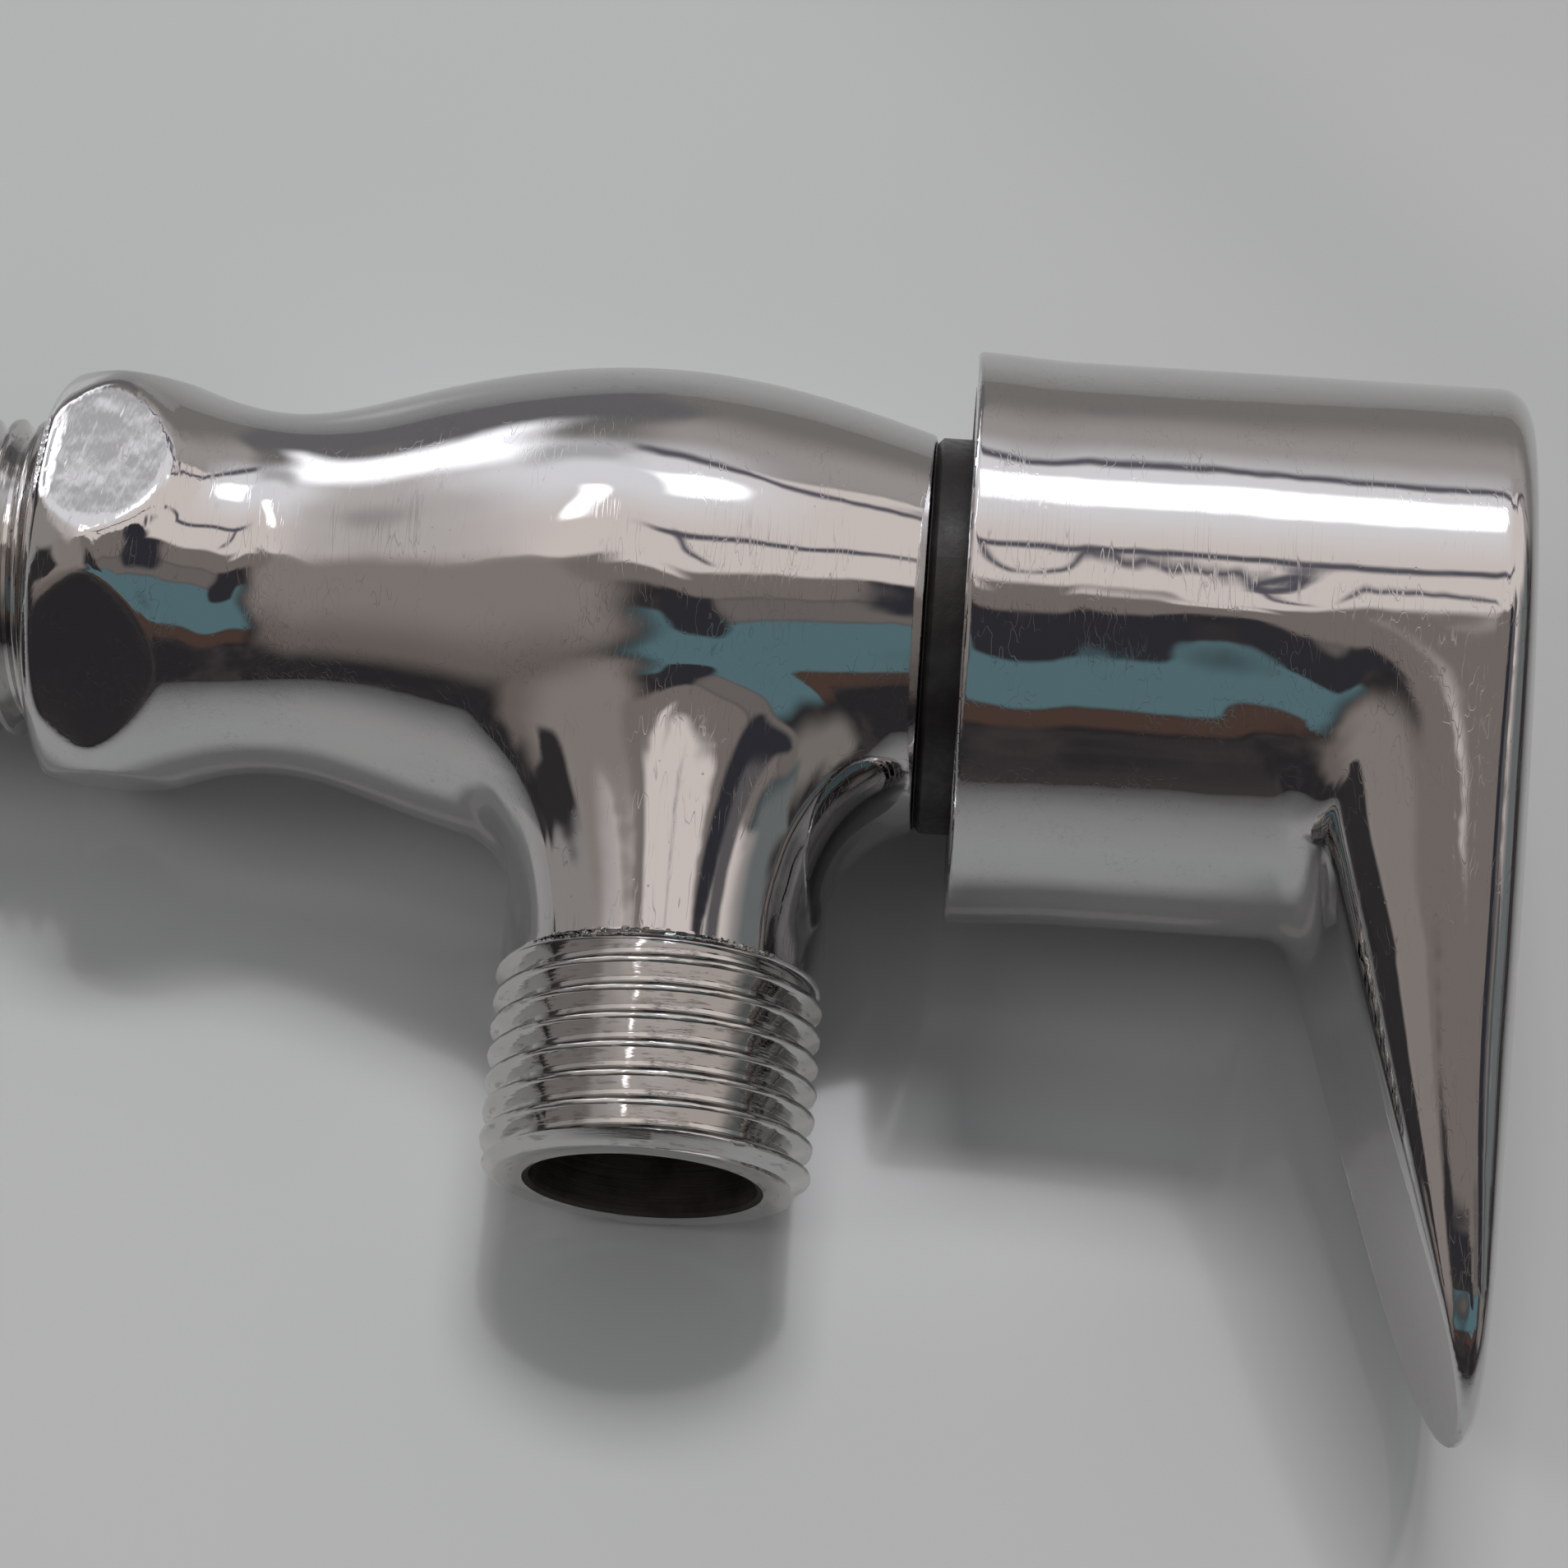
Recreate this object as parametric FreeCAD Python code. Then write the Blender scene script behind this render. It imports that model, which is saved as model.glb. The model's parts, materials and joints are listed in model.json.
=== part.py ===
import FreeCAD, Part
import math
import os

Vector = FreeCAD.Vector

# Angle valve, millimetres.
# X runs along the body from the inlet to the handle, and x = 0 is the back face of the collar.
# The outlet and the open lever point along -Y, and +Z is up as the valve lies on its side.
ORIGIN = Vector(0, 0, 0)
ALONG = Vector(1, 0, 0)
OUTLET_WAY = Vector(0, -1, 0)
UP = Vector(0, 0, 1)

# Pipe threads, G 1/2: each male thread fills its major cylinder
thread_radius = 20.955 / 2
thread_fit = 0.02
inlet_thread_length = 20.0
outlet_thread_length = 13.0
thread_chamfer = 1.0
relief_width = 0.8
relief_depth = 0.6

# Water ways
inlet_bore_radius = 6.8
outlet_bore_radius = 7.1
bore_chamfer = 0.6

# Body casting
outlet_place = 42.0
outlet_reach = 38.5
branch_radius = 10.3
branch_blend = 5.0
collar_across_flats = 26.4
collar_flat_turn = 15.0
collar_face_radius = 12.2
collar_edge_radius = 13.8
collar_edge_place = 1.3
collar_top_radius = 14.6
collar_top_place = 4.2
collar_slope_radius = 13.55
collar_slope_place = 8.5
neck_radius = 11.95
neck_place = 15.0
rise_radius = 13.95
rise_behind_outlet = 18.0
bulge_radius = 16.38
bulge_behind_outlet = 2.5
fall_radius = 15.1
fall_past_outlet = 8.0
body_end_radius = 13.1
body_end_past_outlet = 15.4

# Chamber for the headwork
seat_behind_outlet = 9.0
chamber_radius = 9.3
headwork_thread_length = 8.0

# Headwork housing
skirt_wall = 1.2
skirt_chamber_gap = 0.45
skirt_seat_gap = 0.8
flange_thickness = 2.0
flange_radius = 11.8
hex_across_flats = 19.0
hex_height = 5.0
housing_neck_radius = 7.2
housing_neck_length = 5.0
window_width = 10.5
window_overlap = 0.3
housing_seal_section = 1.5

# Ceramic discs and their seat
seal_thickness = 2.8
seal_wall = 2.0
seal_support_wall = 0.5
seal_support_setback = 0.4
disc_gap = 0.05
disc_side_gap = 0.1
fixed_disc_thickness = 2.6
moving_disc_thickness = 3.6
port_outer_radius = 4.7
port_inner_radius = 1.4
port_angle = 80.0
notch_angle = 86.0
ear_width = 3.0
tongue_width = 3.0
tongue_depth = 1.6
tongue_length = 11.0
moving_side_gap = 0.3

# Spindle
stem_radius = 4.0
stem_fit = 0.05
spindle_head_thickness = 2.3
glide_washer_thickness = 0.5
glide_washer_radius = 6.9
spindle_seal_section = 1.1
spindle_seal_fit = 0.02
spindle_seal_first = 4.0
spindle_seal_pitch = 4.5
clip_thickness = 0.8
clip_depth = 0.7
clip_radius = 5.4
clip_opening = 70.0
quarter_turn = 90.0
stop_lug_angle = 50.0
stop_slack = 1.0
stop_lug_thickness = 1.6
stop_ring_wall = 1.3
stop_ring_height = 3.2
spline_teeth = 20
spline_depth = 0.4
spline_root_share = 0.3
spline_tip_share = 0.16
spline_length = 10.0
spline_fit = 0.05

# Collar ring between the body and the handle
ring_radius = 13.0
ring_web = 1.0
ring_rim_wall = 1.0
ring_rim_length = 3.4
ring_rounding = 0.4
ring_shows = 2.3

# Handle
handle_radius = 18.45
handle_length = 36.3
handle_wall = 2.25
handle_end_wall = 4.0
handle_edge = 3.0
lever_reach = 53.5
lever_tip_radius = 10.0
lever_root_setback = 12.1
lever_root_blend = 2.5
lever_lean = 14.7
face_long_crown = 365.0
face_cross_crown = 90.0
face_crown_shift = 5.0
face_swing_margin = 1.3
boss_radius = 8.0
boss_socket_gap = 0.6
boss_socket_extra = 1.5
set_screw_radius = 2.0
set_screw_length = 4.6
set_screw_key = 2.0
set_screw_key_depth = 2.0
set_screw_inset = 4.5
set_screw_bite = 0.5
screw_access_radius = 2.6

# Places along X that follow from the sizes above
seat_place = outlet_place - seat_behind_outlet
body_end = outlet_place + body_end_past_outlet
headwork_thread_start = body_end - headwork_thread_length
skirt_radius = chamber_radius - skirt_chamber_gap
cavity_radius = skirt_radius - skirt_wall
skirt_end = seat_place + skirt_seat_gap
fixed_disc_start = seat_place + seal_thickness
moving_disc_start = fixed_disc_start + fixed_disc_thickness + disc_gap
spindle_head_start = moving_disc_start + moving_disc_thickness
washer_start = spindle_head_start + spindle_head_thickness + disc_gap
cavity_end = washer_start + glide_washer_thickness
stem_bore_radius = stem_radius + stem_fit
flange_start = body_end + ring_web
hex_start = flange_start + flange_thickness
neck_start = hex_start + hex_height
housing_end = neck_start + housing_neck_length
clip_start = housing_end + disc_gap
stop_lug_start = clip_start + clip_thickness + disc_gap
stop_ring_end = housing_end + stop_ring_height
spline_start = stop_ring_end + boss_socket_gap
spline_end = spline_start + spline_length
handle_start = body_end + ring_shows
handle_end = handle_start + handle_length
cup_floor = handle_end - handle_end_wall
screw_place = spline_start + set_screw_inset


def rod(x_start, x_end, radius):
    return Part.makeCylinder(radius, x_end - x_start, Vector(x_start, 0, 0), ALONG)


def tube(x_start, x_end, outer_radius, inner_radius):
    return rod(x_start, x_end, outer_radius).cut(rod(x_start, x_end, inner_radius))


def turned(outline):
    """Solid turned about the X axis from (x, radius) corners."""
    corners = [Vector(x, 0, radius) for x, radius in outline]
    wire = Part.makePolygon(corners + [corners[0]])
    return Part.Face(wire).revolve(ORIGIN, ALONG, 360)


def o_ring(place, inner_radius, section):
    """Round rubber ring about the X axis with its middle at place."""
    return Part.makeTorus(inner_radius + section / 2, section / 2, Vector(place, 0, 0), ALONG)


def hex_bar(x_start, x_end, across_flats, turn=0.0):
    """Hexagonal bar along X with one flat facing up, turned about X by turn degrees."""
    corner_radius = across_flats / math.sqrt(3)
    corners = []
    for index in range(6):
        angle = math.radians(60 * index + 30 + turn)
        corners.append(Vector(x_start, -corner_radius * math.sin(angle), corner_radius * math.cos(angle)))
    face = Part.Face(Part.makePolygon(corners + [corners[0]]))
    return face.extrude(Vector(x_end - x_start, 0, 0))


def sector(x_start, x_end, outer_radius, centre_angle, opening):
    """Wedge about the X axis. Angles run from +Y towards +Z, in degrees."""
    first = math.radians(centre_angle - opening / 2)
    middle = math.radians(centre_angle)
    last = math.radians(centre_angle + opening / 2)
    ends = []
    for angle in (first, middle, last):
        ends.append(Vector(x_start, outer_radius * math.cos(angle), outer_radius * math.sin(angle)))
    centre = Vector(x_start, 0, 0)
    edges = [
        Part.makeLine(centre, ends[0]),
        Part.Arc(ends[0], ends[1], ends[2]).toShape(),
        Part.makeLine(ends[2], centre),
    ]
    return Part.Face(Part.Wire(edges)).extrude(Vector(x_end - x_start, 0, 0))


def box(x_start, x_end, y_half, z_half):
    """Box along X, centred on the axis."""
    return Part.makeBox(x_end - x_start, 2 * y_half, 2 * z_half, Vector(x_start, -y_half, -z_half))


def splined_bar(x_start, x_end, tip_radius):
    """Bar with straight-sided spline teeth. The shares are half widths in tooth pitches."""
    corners = []
    step = 360.0 / spline_teeth
    root_radius = tip_radius - spline_depth
    tooth_outline = [(-spline_root_share, root_radius), (-spline_tip_share, tip_radius),
                     (spline_tip_share, tip_radius), (spline_root_share, root_radius)]
    for tooth in range(spline_teeth):
        for share, radius in tooth_outline:
            angle = math.radians((tooth + share) * step)
            corners.append(Vector(x_start, radius * math.cos(angle), radius * math.sin(angle)))
    face = Part.Face(Part.makePolygon(corners + [corners[0]]))
    return face.extrude(Vector(x_end - x_start, 0, 0))


def casting_form():
    """Outer form of the body: turned collar, neck and bulge as one flowing curve."""
    curve = Part.BSplineCurve()
    curve.interpolate([
        Vector(collar_edge_place, 0, collar_edge_radius),
        Vector(collar_top_place, 0, collar_top_radius),
        Vector(collar_slope_place, 0, collar_slope_radius),
        Vector(neck_place, 0, neck_radius),
        Vector(outlet_place - rise_behind_outlet, 0, rise_radius),
        Vector(outlet_place - bulge_behind_outlet, 0, bulge_radius),
        Vector(outlet_place + fall_past_outlet, 0, fall_radius),
        Vector(body_end, 0, body_end_radius),
    ])
    rim = Vector(collar_edge_place, 0, collar_edge_radius)
    face_corner = Vector(0, 0, collar_face_radius)
    end_corner = Vector(body_end, 0, body_end_radius)
    end_middle = Vector(body_end, 0, 0)
    edges = [
        Part.makeLine(ORIGIN, face_corner),
        Part.makeLine(face_corner, rim),
        curve.toShape(),
        Part.makeLine(end_corner, end_middle),
        Part.makeLine(end_middle, ORIGIN),
    ]
    return Part.Face(Part.Wire(edges)).revolve(ORIGIN, ALONG, 360)


def thread_blank(length):
    """Male thread blank from z = 0 to z = length, chamfered at its tip."""
    plain = Part.makeCylinder(thread_radius, length - thread_chamfer)
    tip = Part.makeCone(thread_radius, thread_radius - thread_chamfer, thread_chamfer,
                        Vector(0, 0, length - thread_chamfer))
    return plain.fuse(tip)


def placed(shape, place, way):
    """Copy of a shape made along +Z, moved to place and pointing along way."""
    moved = shape.copy()
    moved.Placement = FreeCAD.Placement(place, FreeCAD.Rotation(UP, way))
    return moved


def make_valve_body():
    form = casting_form()
    branch_end = outlet_reach - outlet_thread_length
    branch = Part.makeCylinder(branch_radius, branch_end, Vector(outlet_place, 0, 0), OUTLET_WAY)
    form = form.fuse(branch)
    saddle = [edge for edge in form.Edges
              if edge.Curve.TypeId == "Part::GeomBSplineCurve" and edge.CenterOfMass.y < -branch_radius / 2]
    form = form.makeFillet(branch_blend, saddle)
    collar_end = (collar_slope_place + neck_place) / 2
    flats = rod(0, collar_end, 2 * collar_top_radius)
    flats = flats.cut(hex_bar(0, collar_end, collar_across_flats, collar_flat_turn))
    form = form.cut(flats)
    thread_root = Vector(outlet_place, -branch_end, 0)
    outlet_thread = placed(thread_blank(outlet_thread_length), thread_root, OUTLET_WAY)
    inlet_thread = placed(thread_blank(inlet_thread_length), ORIGIN, Vector(-1, 0, 0))
    form = form.fuse(outlet_thread).fuse(inlet_thread)
    relief = Part.makeCylinder(2 * thread_radius, relief_width, thread_root, OUTLET_WAY)
    relief_floor = Part.makeCylinder(thread_radius - relief_depth, relief_width, thread_root, OUTLET_WAY)
    form = form.cut(relief.cut(relief_floor))

    inlet_way = turned([
        (-inlet_thread_length, 0),
        (-inlet_thread_length, inlet_bore_radius + bore_chamfer),
        (bore_chamfer - inlet_thread_length, inlet_bore_radius),
        (seat_place, inlet_bore_radius),
        (seat_place, 0),
    ])
    mouth_radius = thread_radius + thread_fit
    chamber = turned([
        (seat_place, 0),
        (seat_place, chamber_radius),
        (headwork_thread_start, chamber_radius),
        (headwork_thread_start, mouth_radius),
        (body_end, mouth_radius),
        (body_end, 0),
    ])
    outlet_way = Part.makeCylinder(outlet_bore_radius, outlet_reach, Vector(outlet_place, 0, 0), OUTLET_WAY)
    outlet_mouth = Part.makeCone(outlet_bore_radius, outlet_bore_radius + bore_chamfer, bore_chamfer,
                                 Vector(outlet_place, bore_chamfer - outlet_reach, 0), OUTLET_WAY)
    return form.cut(inlet_way.fuse(chamber)).cut(outlet_way).cut(outlet_mouth)


def make_cartridge_housing():
    seal_groove_start = body_end - housing_seal_section
    seal_groove_radius = thread_radius + thread_fit - housing_seal_section
    outer = turned([
        (skirt_end, 0),
        (skirt_end, skirt_radius),
        (headwork_thread_start, skirt_radius),
        (headwork_thread_start + skirt_chamber_gap, thread_radius),
        (seal_groove_start, thread_radius),
        (seal_groove_start, seal_groove_radius),
        (flange_start, seal_groove_radius),
        (flange_start, flange_radius),
        (hex_start, flange_radius),
        (hex_start, 0),
    ])
    outer = outer.fuse(hex_bar(hex_start, neck_start, hex_across_flats))
    outer = outer.fuse(rod(neck_start, housing_end, housing_neck_radius))
    stop_ring = tube(housing_end, stop_ring_end, housing_neck_radius, housing_neck_radius - stop_ring_wall)
    lug_way = sector(housing_end, stop_ring_end, 2 * housing_neck_radius,
                     180 - quarter_turn / 2, quarter_turn + stop_lug_angle + 2 * stop_slack)
    outer = outer.fuse(stop_ring.cut(lug_way))
    outer = outer.cut(rod(skirt_end, cavity_end, cavity_radius))
    outer = outer.cut(rod(cavity_end, housing_end, stem_bore_radius))
    window_start = moving_disc_start - window_overlap
    window_end = spindle_head_start + window_overlap
    outer = outer.cut(box(window_start, window_end, 2 * skirt_radius, window_width / 2))
    ear_slot = box(skirt_end, fixed_disc_start + fixed_disc_thickness, ear_width / 2 + disc_side_gap,
                   2 * skirt_radius)
    return outer.cut(ear_slot)


def make_fixed_ceramic_disc():
    disc_end = fixed_disc_start + fixed_disc_thickness
    disc = rod(fixed_disc_start, disc_end, cavity_radius - disc_side_gap)
    ears = box(fixed_disc_start, disc_end, ear_width / 2, 2 * skirt_radius)
    ears = ears.common(rod(fixed_disc_start, disc_end, skirt_radius - disc_side_gap))
    disc = disc.fuse(ears).removeSplitter()
    hub = rod(fixed_disc_start, disc_end, port_inner_radius)
    for side in (0, 180):
        port = sector(fixed_disc_start, disc_end, port_outer_radius, side, port_angle)
        disc = disc.cut(port.cut(hub))
    return disc


def make_moving_ceramic_disc():
    disc_end = moving_disc_start + moving_disc_thickness
    disc = rod(moving_disc_start, disc_end, cavity_radius - moving_side_gap)
    hub = rod(moving_disc_start, disc_end, port_inner_radius)
    for side in (0, 180):
        notch = sector(moving_disc_start, disc_end, 2 * cavity_radius, side, notch_angle)
        disc = disc.cut(notch.cut(hub))
    slot_start = disc_end - tongue_depth - disc_gap
    return disc.cut(box(slot_start, disc_end, tongue_width / 2 + disc_gap, cavity_radius))


def make_disc_seat_seal():
    outer_radius = cavity_radius - disc_side_gap
    return tube(seat_place, fixed_disc_start, outer_radius, outer_radius - seal_wall)


def make_seal_support_ring():
    outer_radius = cavity_radius - disc_side_gap - seal_wall
    return tube(seat_place + seal_support_setback, fixed_disc_start, outer_radius,
                outer_radius - seal_support_wall)


def spindle_seal_place(index):
    return cavity_end + spindle_seal_first + index * spindle_seal_pitch


def make_spindle():
    groove_radius = stem_bore_radius - spindle_seal_fit - spindle_seal_section
    half_groove = spindle_seal_section / 2 + disc_gap
    head_end = spindle_head_start + spindle_head_thickness
    head_radius = cavity_radius - moving_side_gap
    outline = [(spindle_head_start, 0), (spindle_head_start, head_radius),
               (head_end, head_radius), (head_end, stem_radius)]
    for index in range(2):
        middle = spindle_seal_place(index)
        outline += [(middle - half_groove, stem_radius), (middle - half_groove, groove_radius),
                    (middle + half_groove, groove_radius), (middle + half_groove, stem_radius)]
    clip_end = clip_start + clip_thickness
    outline += [(clip_start, stem_radius), (clip_start, stem_radius - clip_depth),
                (clip_end, stem_radius - clip_depth), (clip_end, stem_radius),
                (spline_start, stem_radius), (spline_start, 0)]
    spindle = turned(outline)
    tongue = box(spindle_head_start - tongue_depth, spindle_head_start, tongue_width / 2, tongue_length / 2)
    stop_lug = sector(stop_lug_start, stop_lug_start + stop_lug_thickness,
                      housing_neck_radius - disc_side_gap, 180, stop_lug_angle)
    spindle = spindle.fuse([tongue, stop_lug, splined_bar(spline_start, spline_end, stem_radius)])
    bite = tube(screw_place - set_screw_radius, screw_place + set_screw_radius,
                2 * stem_radius, stem_radius - set_screw_bite)
    return spindle.cut(bite)


def make_retaining_clip():
    clip_end = clip_start + clip_thickness
    clip = tube(clip_start, clip_end, clip_radius, stem_radius - clip_depth)
    return clip.cut(sector(clip_start, clip_end, 2 * clip_radius, 0, clip_opening))


def make_collar_ring():
    """Ring with an L section: its web is clamped under the headwork flange."""
    rim_end = body_end + ring_rim_length
    return turned([
        (body_end, thread_radius + ring_rounding),
        (body_end, ring_radius - ring_rounding),
        (body_end + ring_rounding, ring_radius),
        (rim_end - ring_rounding, ring_radius),
        (rim_end, ring_radius - ring_rounding),
        (rim_end, ring_radius - ring_rim_wall),
        (flange_start, ring_radius - ring_rim_wall),
        (flange_start, thread_radius + ring_rounding),
    ])


def teardrop(x_place):
    """End outline of the handle: the cup's circle drawn out to the lever's round tip."""
    tip_centre = lever_reach - lever_tip_radius
    slant = math.asin((handle_radius - lever_tip_radius) / tip_centre)
    root_y = -handle_radius * math.sin(slant)
    root_z = handle_radius * math.cos(slant)
    end_y = -tip_centre - lever_tip_radius * math.sin(slant)
    end_z = lever_tip_radius * math.cos(slant)
    root_top = Vector(x_place, root_y, root_z)
    root_low = Vector(x_place, root_y, -root_z)
    end_top = Vector(x_place, end_y, end_z)
    end_low = Vector(x_place, end_y, -end_z)
    return Part.Wire([
        Part.Arc(root_low, Vector(x_place, handle_radius, 0), root_top).toShape(),
        Part.makeLine(root_top, end_top),
        Part.Arc(end_top, Vector(x_place, -lever_reach, 0), end_low).toShape(),
        Part.makeLine(end_low, root_low),
    ])


def crowned_end():
    """Block behind the handle's end face, which is slightly crowned both ways."""
    half = lever_reach
    drop = face_cross_crown - math.sqrt(face_cross_crown ** 2 - half ** 2)
    back = handle_start - handle_length
    crown_top = Vector(handle_end, -face_crown_shift, 0)
    top = Vector(handle_end - drop, -face_crown_shift, half)
    low = Vector(handle_end - drop, -face_crown_shift, -half)
    back_top = Vector(back, -face_crown_shift, half)
    back_low = Vector(back, -face_crown_shift, -half)
    section = Part.Wire([
        Part.Arc(low, crown_top, top).toShape(),
        Part.makeLine(top, back_top),
        Part.makeLine(back_top, back_low),
        Part.makeLine(back_low, low),
    ])
    pivot = Vector(handle_end - face_long_crown, -face_crown_shift, 0)
    swing = math.degrees(face_swing_margin * lever_reach / face_long_crown)
    block = Part.Face(section).revolve(pivot, UP, 2 * swing)
    block.rotate(pivot, UP, -swing)
    return block


def lever_gap():
    """Room in front of the lever's leaning inner face, rounded where the face meets the cup."""
    lean = math.tan(math.radians(lever_lean))
    far = 2 * lever_reach
    root_x = handle_end - lever_root_setback
    corners = [
        Vector(root_x - lean * (far + handle_radius), far, -far),
        Vector(root_x + lean * (far - handle_radius), -far, -far),
        Vector(handle_start - far, -far, -far),
        Vector(handle_start - far, far, -far),
    ]
    block = Part.Face(Part.makePolygon(corners + [corners[0]])).extrude(Vector(0, 0, 2 * far))
    block = block.cut(rod(handle_start - 2 * far, handle_end + far, handle_radius))
    corner = [edge for edge in block.Edges if edge.Curve.TypeId == "Part::GeomEllipse"]
    return block.makeFillet(lever_root_blend, corner)


def make_handle():
    form = Part.Face(teardrop(handle_start)).extrude(Vector(handle_length, 0, 0))
    form = form.common(crowned_end())
    end_face = max(form.Faces, key=lambda face: face.CenterOfMass.x)
    form = form.makeFillet(handle_edge, end_face.Edges)
    form = form.cut(lever_gap())
    form = form.cut(rod(handle_start, cup_floor, handle_radius - handle_wall))
    boss = rod(spline_start, cup_floor, boss_radius)
    form = form.fuse(boss)
    socket_end = spline_end + boss_socket_extra
    form = form.cut(splined_bar(spline_start, socket_end, stem_radius + spline_fit))
    screw_hole = Part.makeCylinder(set_screw_radius, boss_radius, Vector(screw_place, 0, 0), -UP)
    access_start = Vector(screw_place, 0, -boss_radius)
    access = Part.makeCylinder(screw_access_radius, 2 * handle_radius, access_start, -UP)
    return form.cut(screw_hole).cut(access)


def make_set_screw():
    tip = stem_radius - set_screw_bite
    screw = Part.makeCylinder(set_screw_radius, set_screw_length, Vector(screw_place, 0, -tip), -UP)
    key = hex_bar(0, set_screw_key_depth, set_screw_key)
    key.Placement = FreeCAD.Placement(Vector(screw_place, 0, -tip - set_screw_length),
                                      FreeCAD.Rotation(ALONG, UP))
    return screw.cut(key)


def make_all():
    seal_radius = thread_radius + thread_fit - housing_seal_section
    stem_seal_radius = stem_bore_radius - spindle_seal_fit - spindle_seal_section
    return {
        "valve_body": make_valve_body(),
        "cartridge_housing": make_cartridge_housing(),
        "housing_o_ring": o_ring(body_end - housing_seal_section / 2, seal_radius, housing_seal_section),
        "collar_ring": make_collar_ring(),
        "disc_seat_seal": make_disc_seat_seal(),
        "seal_support_ring": make_seal_support_ring(),
        "fixed_ceramic_disc": make_fixed_ceramic_disc(),
        "glide_washer": tube(washer_start, cavity_end, glide_washer_radius, stem_bore_radius),
        "moving_ceramic_disc": make_moving_ceramic_disc(),
        "spindle": make_spindle(),
        "spindle_o_ring_inner": o_ring(spindle_seal_place(0), stem_seal_radius, spindle_seal_section),
        "spindle_o_ring_outer": o_ring(spindle_seal_place(1), stem_seal_radius, spindle_seal_section),
        "retaining_clip": make_retaining_clip(),
        "handle": make_handle(),
        "set_screw": make_set_screw(),
    }


os.makedirs("parts", exist_ok=True)
for name, shape in make_all().items():
    solids = shape.Solids
    if len(solids) == 1:
        shape = solids[0]
    shape.exportStep("parts/" + name + ".step")
    bounds = shape.BoundBox
    print(name, shape.isValid(), len(solids), round(shape.Volume, 1),
          [round(value, 2) for value in (bounds.XMin, bounds.XMax, bounds.YMin, bounds.YMax,
                                         bounds.ZMin, bounds.ZMax)])
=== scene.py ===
import json
import math

import bpy
import numpy as np
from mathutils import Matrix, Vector, noise

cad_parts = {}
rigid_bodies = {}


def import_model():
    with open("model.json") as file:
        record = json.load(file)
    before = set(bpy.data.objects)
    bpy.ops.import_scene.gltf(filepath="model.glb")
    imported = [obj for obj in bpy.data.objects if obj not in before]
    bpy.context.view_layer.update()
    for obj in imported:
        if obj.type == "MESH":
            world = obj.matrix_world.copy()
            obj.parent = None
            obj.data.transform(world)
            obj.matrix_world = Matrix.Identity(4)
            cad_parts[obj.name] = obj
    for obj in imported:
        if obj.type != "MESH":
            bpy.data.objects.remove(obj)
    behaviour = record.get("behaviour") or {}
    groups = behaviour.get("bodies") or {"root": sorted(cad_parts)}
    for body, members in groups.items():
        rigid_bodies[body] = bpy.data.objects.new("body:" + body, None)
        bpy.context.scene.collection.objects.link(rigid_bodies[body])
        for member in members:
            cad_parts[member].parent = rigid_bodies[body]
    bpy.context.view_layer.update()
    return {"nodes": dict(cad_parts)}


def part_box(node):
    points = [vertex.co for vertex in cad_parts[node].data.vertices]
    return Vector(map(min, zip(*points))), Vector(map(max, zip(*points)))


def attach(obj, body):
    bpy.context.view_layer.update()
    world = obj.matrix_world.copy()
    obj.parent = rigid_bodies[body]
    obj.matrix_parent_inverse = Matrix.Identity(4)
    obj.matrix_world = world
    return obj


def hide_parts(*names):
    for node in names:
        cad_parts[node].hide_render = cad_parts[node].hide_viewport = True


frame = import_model()
print("stage: frame loaded")

mm = 0.001


def deselectAll():
    for item in bpy.context.view_layer.objects:
        item.select_set(False)


def pick(piece):
    deselectAll()
    piece.select_set(True)
    bpy.context.view_layer.objects.active = piece


def intoEdit(piece, everything=True):
    pick(piece)
    bpy.ops.object.mode_set(mode="EDIT")
    bpy.ops.mesh.select_all(action="SELECT" if everything else "DESELECT")


def outOfEdit():
    bpy.ops.object.mode_set(mode="OBJECT")


def settlePlace(piece):  # the place goes into the mesh, and the object stays at the origin
    pick(piece)
    bpy.ops.object.transform_apply(location=True, rotation=True, scale=True)


def applyModifier(piece, kind, **settings):
    pick(piece)
    modifier = piece.modifiers.new(kind.title(), kind)
    for key, value in settings.items():
        setattr(modifier, key, value)
    bpy.ops.object.modifier_apply(modifier=modifier.name)


def readPoints(piece):
    flat = np.empty(len(piece.data.vertices) * 3, np.float32)
    piece.data.vertices.foreach_get("co", flat)
    return flat.reshape(-1, 3).astype(float)


def writePoints(piece, points):
    piece.data.vertices.foreach_set("co", points.astype(np.float32).ravel())
    piece.data.update()


def turnedBlank(name, stations, sides=96):  # built up along +Z from (place, radius) stations, in mm
    deselectAll()
    place, radius = stations[0]
    bpy.ops.mesh.primitive_circle_add(vertices=sides, radius=radius * mm, fill_type="NGON",
                                      location=(0, 0, place * mm))
    piece = bpy.context.object
    piece.name = name
    intoEdit(piece)
    for nextPlace, nextRadius in stations[1:]:
        bpy.ops.mesh.extrude_region_move(
            TRANSFORM_OT_translate={"value": (0, 0, (nextPlace - place) * mm)})
        if nextRadius != radius:
            share = nextRadius / radius
            bpy.ops.transform.resize(value=(share, share, 1), center_override=(0, 0, nextPlace * mm))
        place, radius = nextPlace, nextRadius
    bpy.ops.mesh.select_all(action="SELECT")
    bpy.ops.mesh.normals_make_consistent(inside=False)
    outOfEdit()
    settlePlace(piece)
    return piece


def aim(piece, origin, way):  # moves what was made along +Z
    turn = Vector((0, 0, 1)).rotation_difference(Vector(way))
    piece.rotation_mode = "QUATERNION"
    piece.rotation_quaternion = turn
    piece.location = Vector(origin) * mm
    settlePlace(piece)


def joinPieces(first, *others):
    deselectAll()
    for other in others:
        other.select_set(True)
    first.select_set(True)
    bpy.context.view_layer.objects.active = first
    bpy.ops.object.join()


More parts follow.
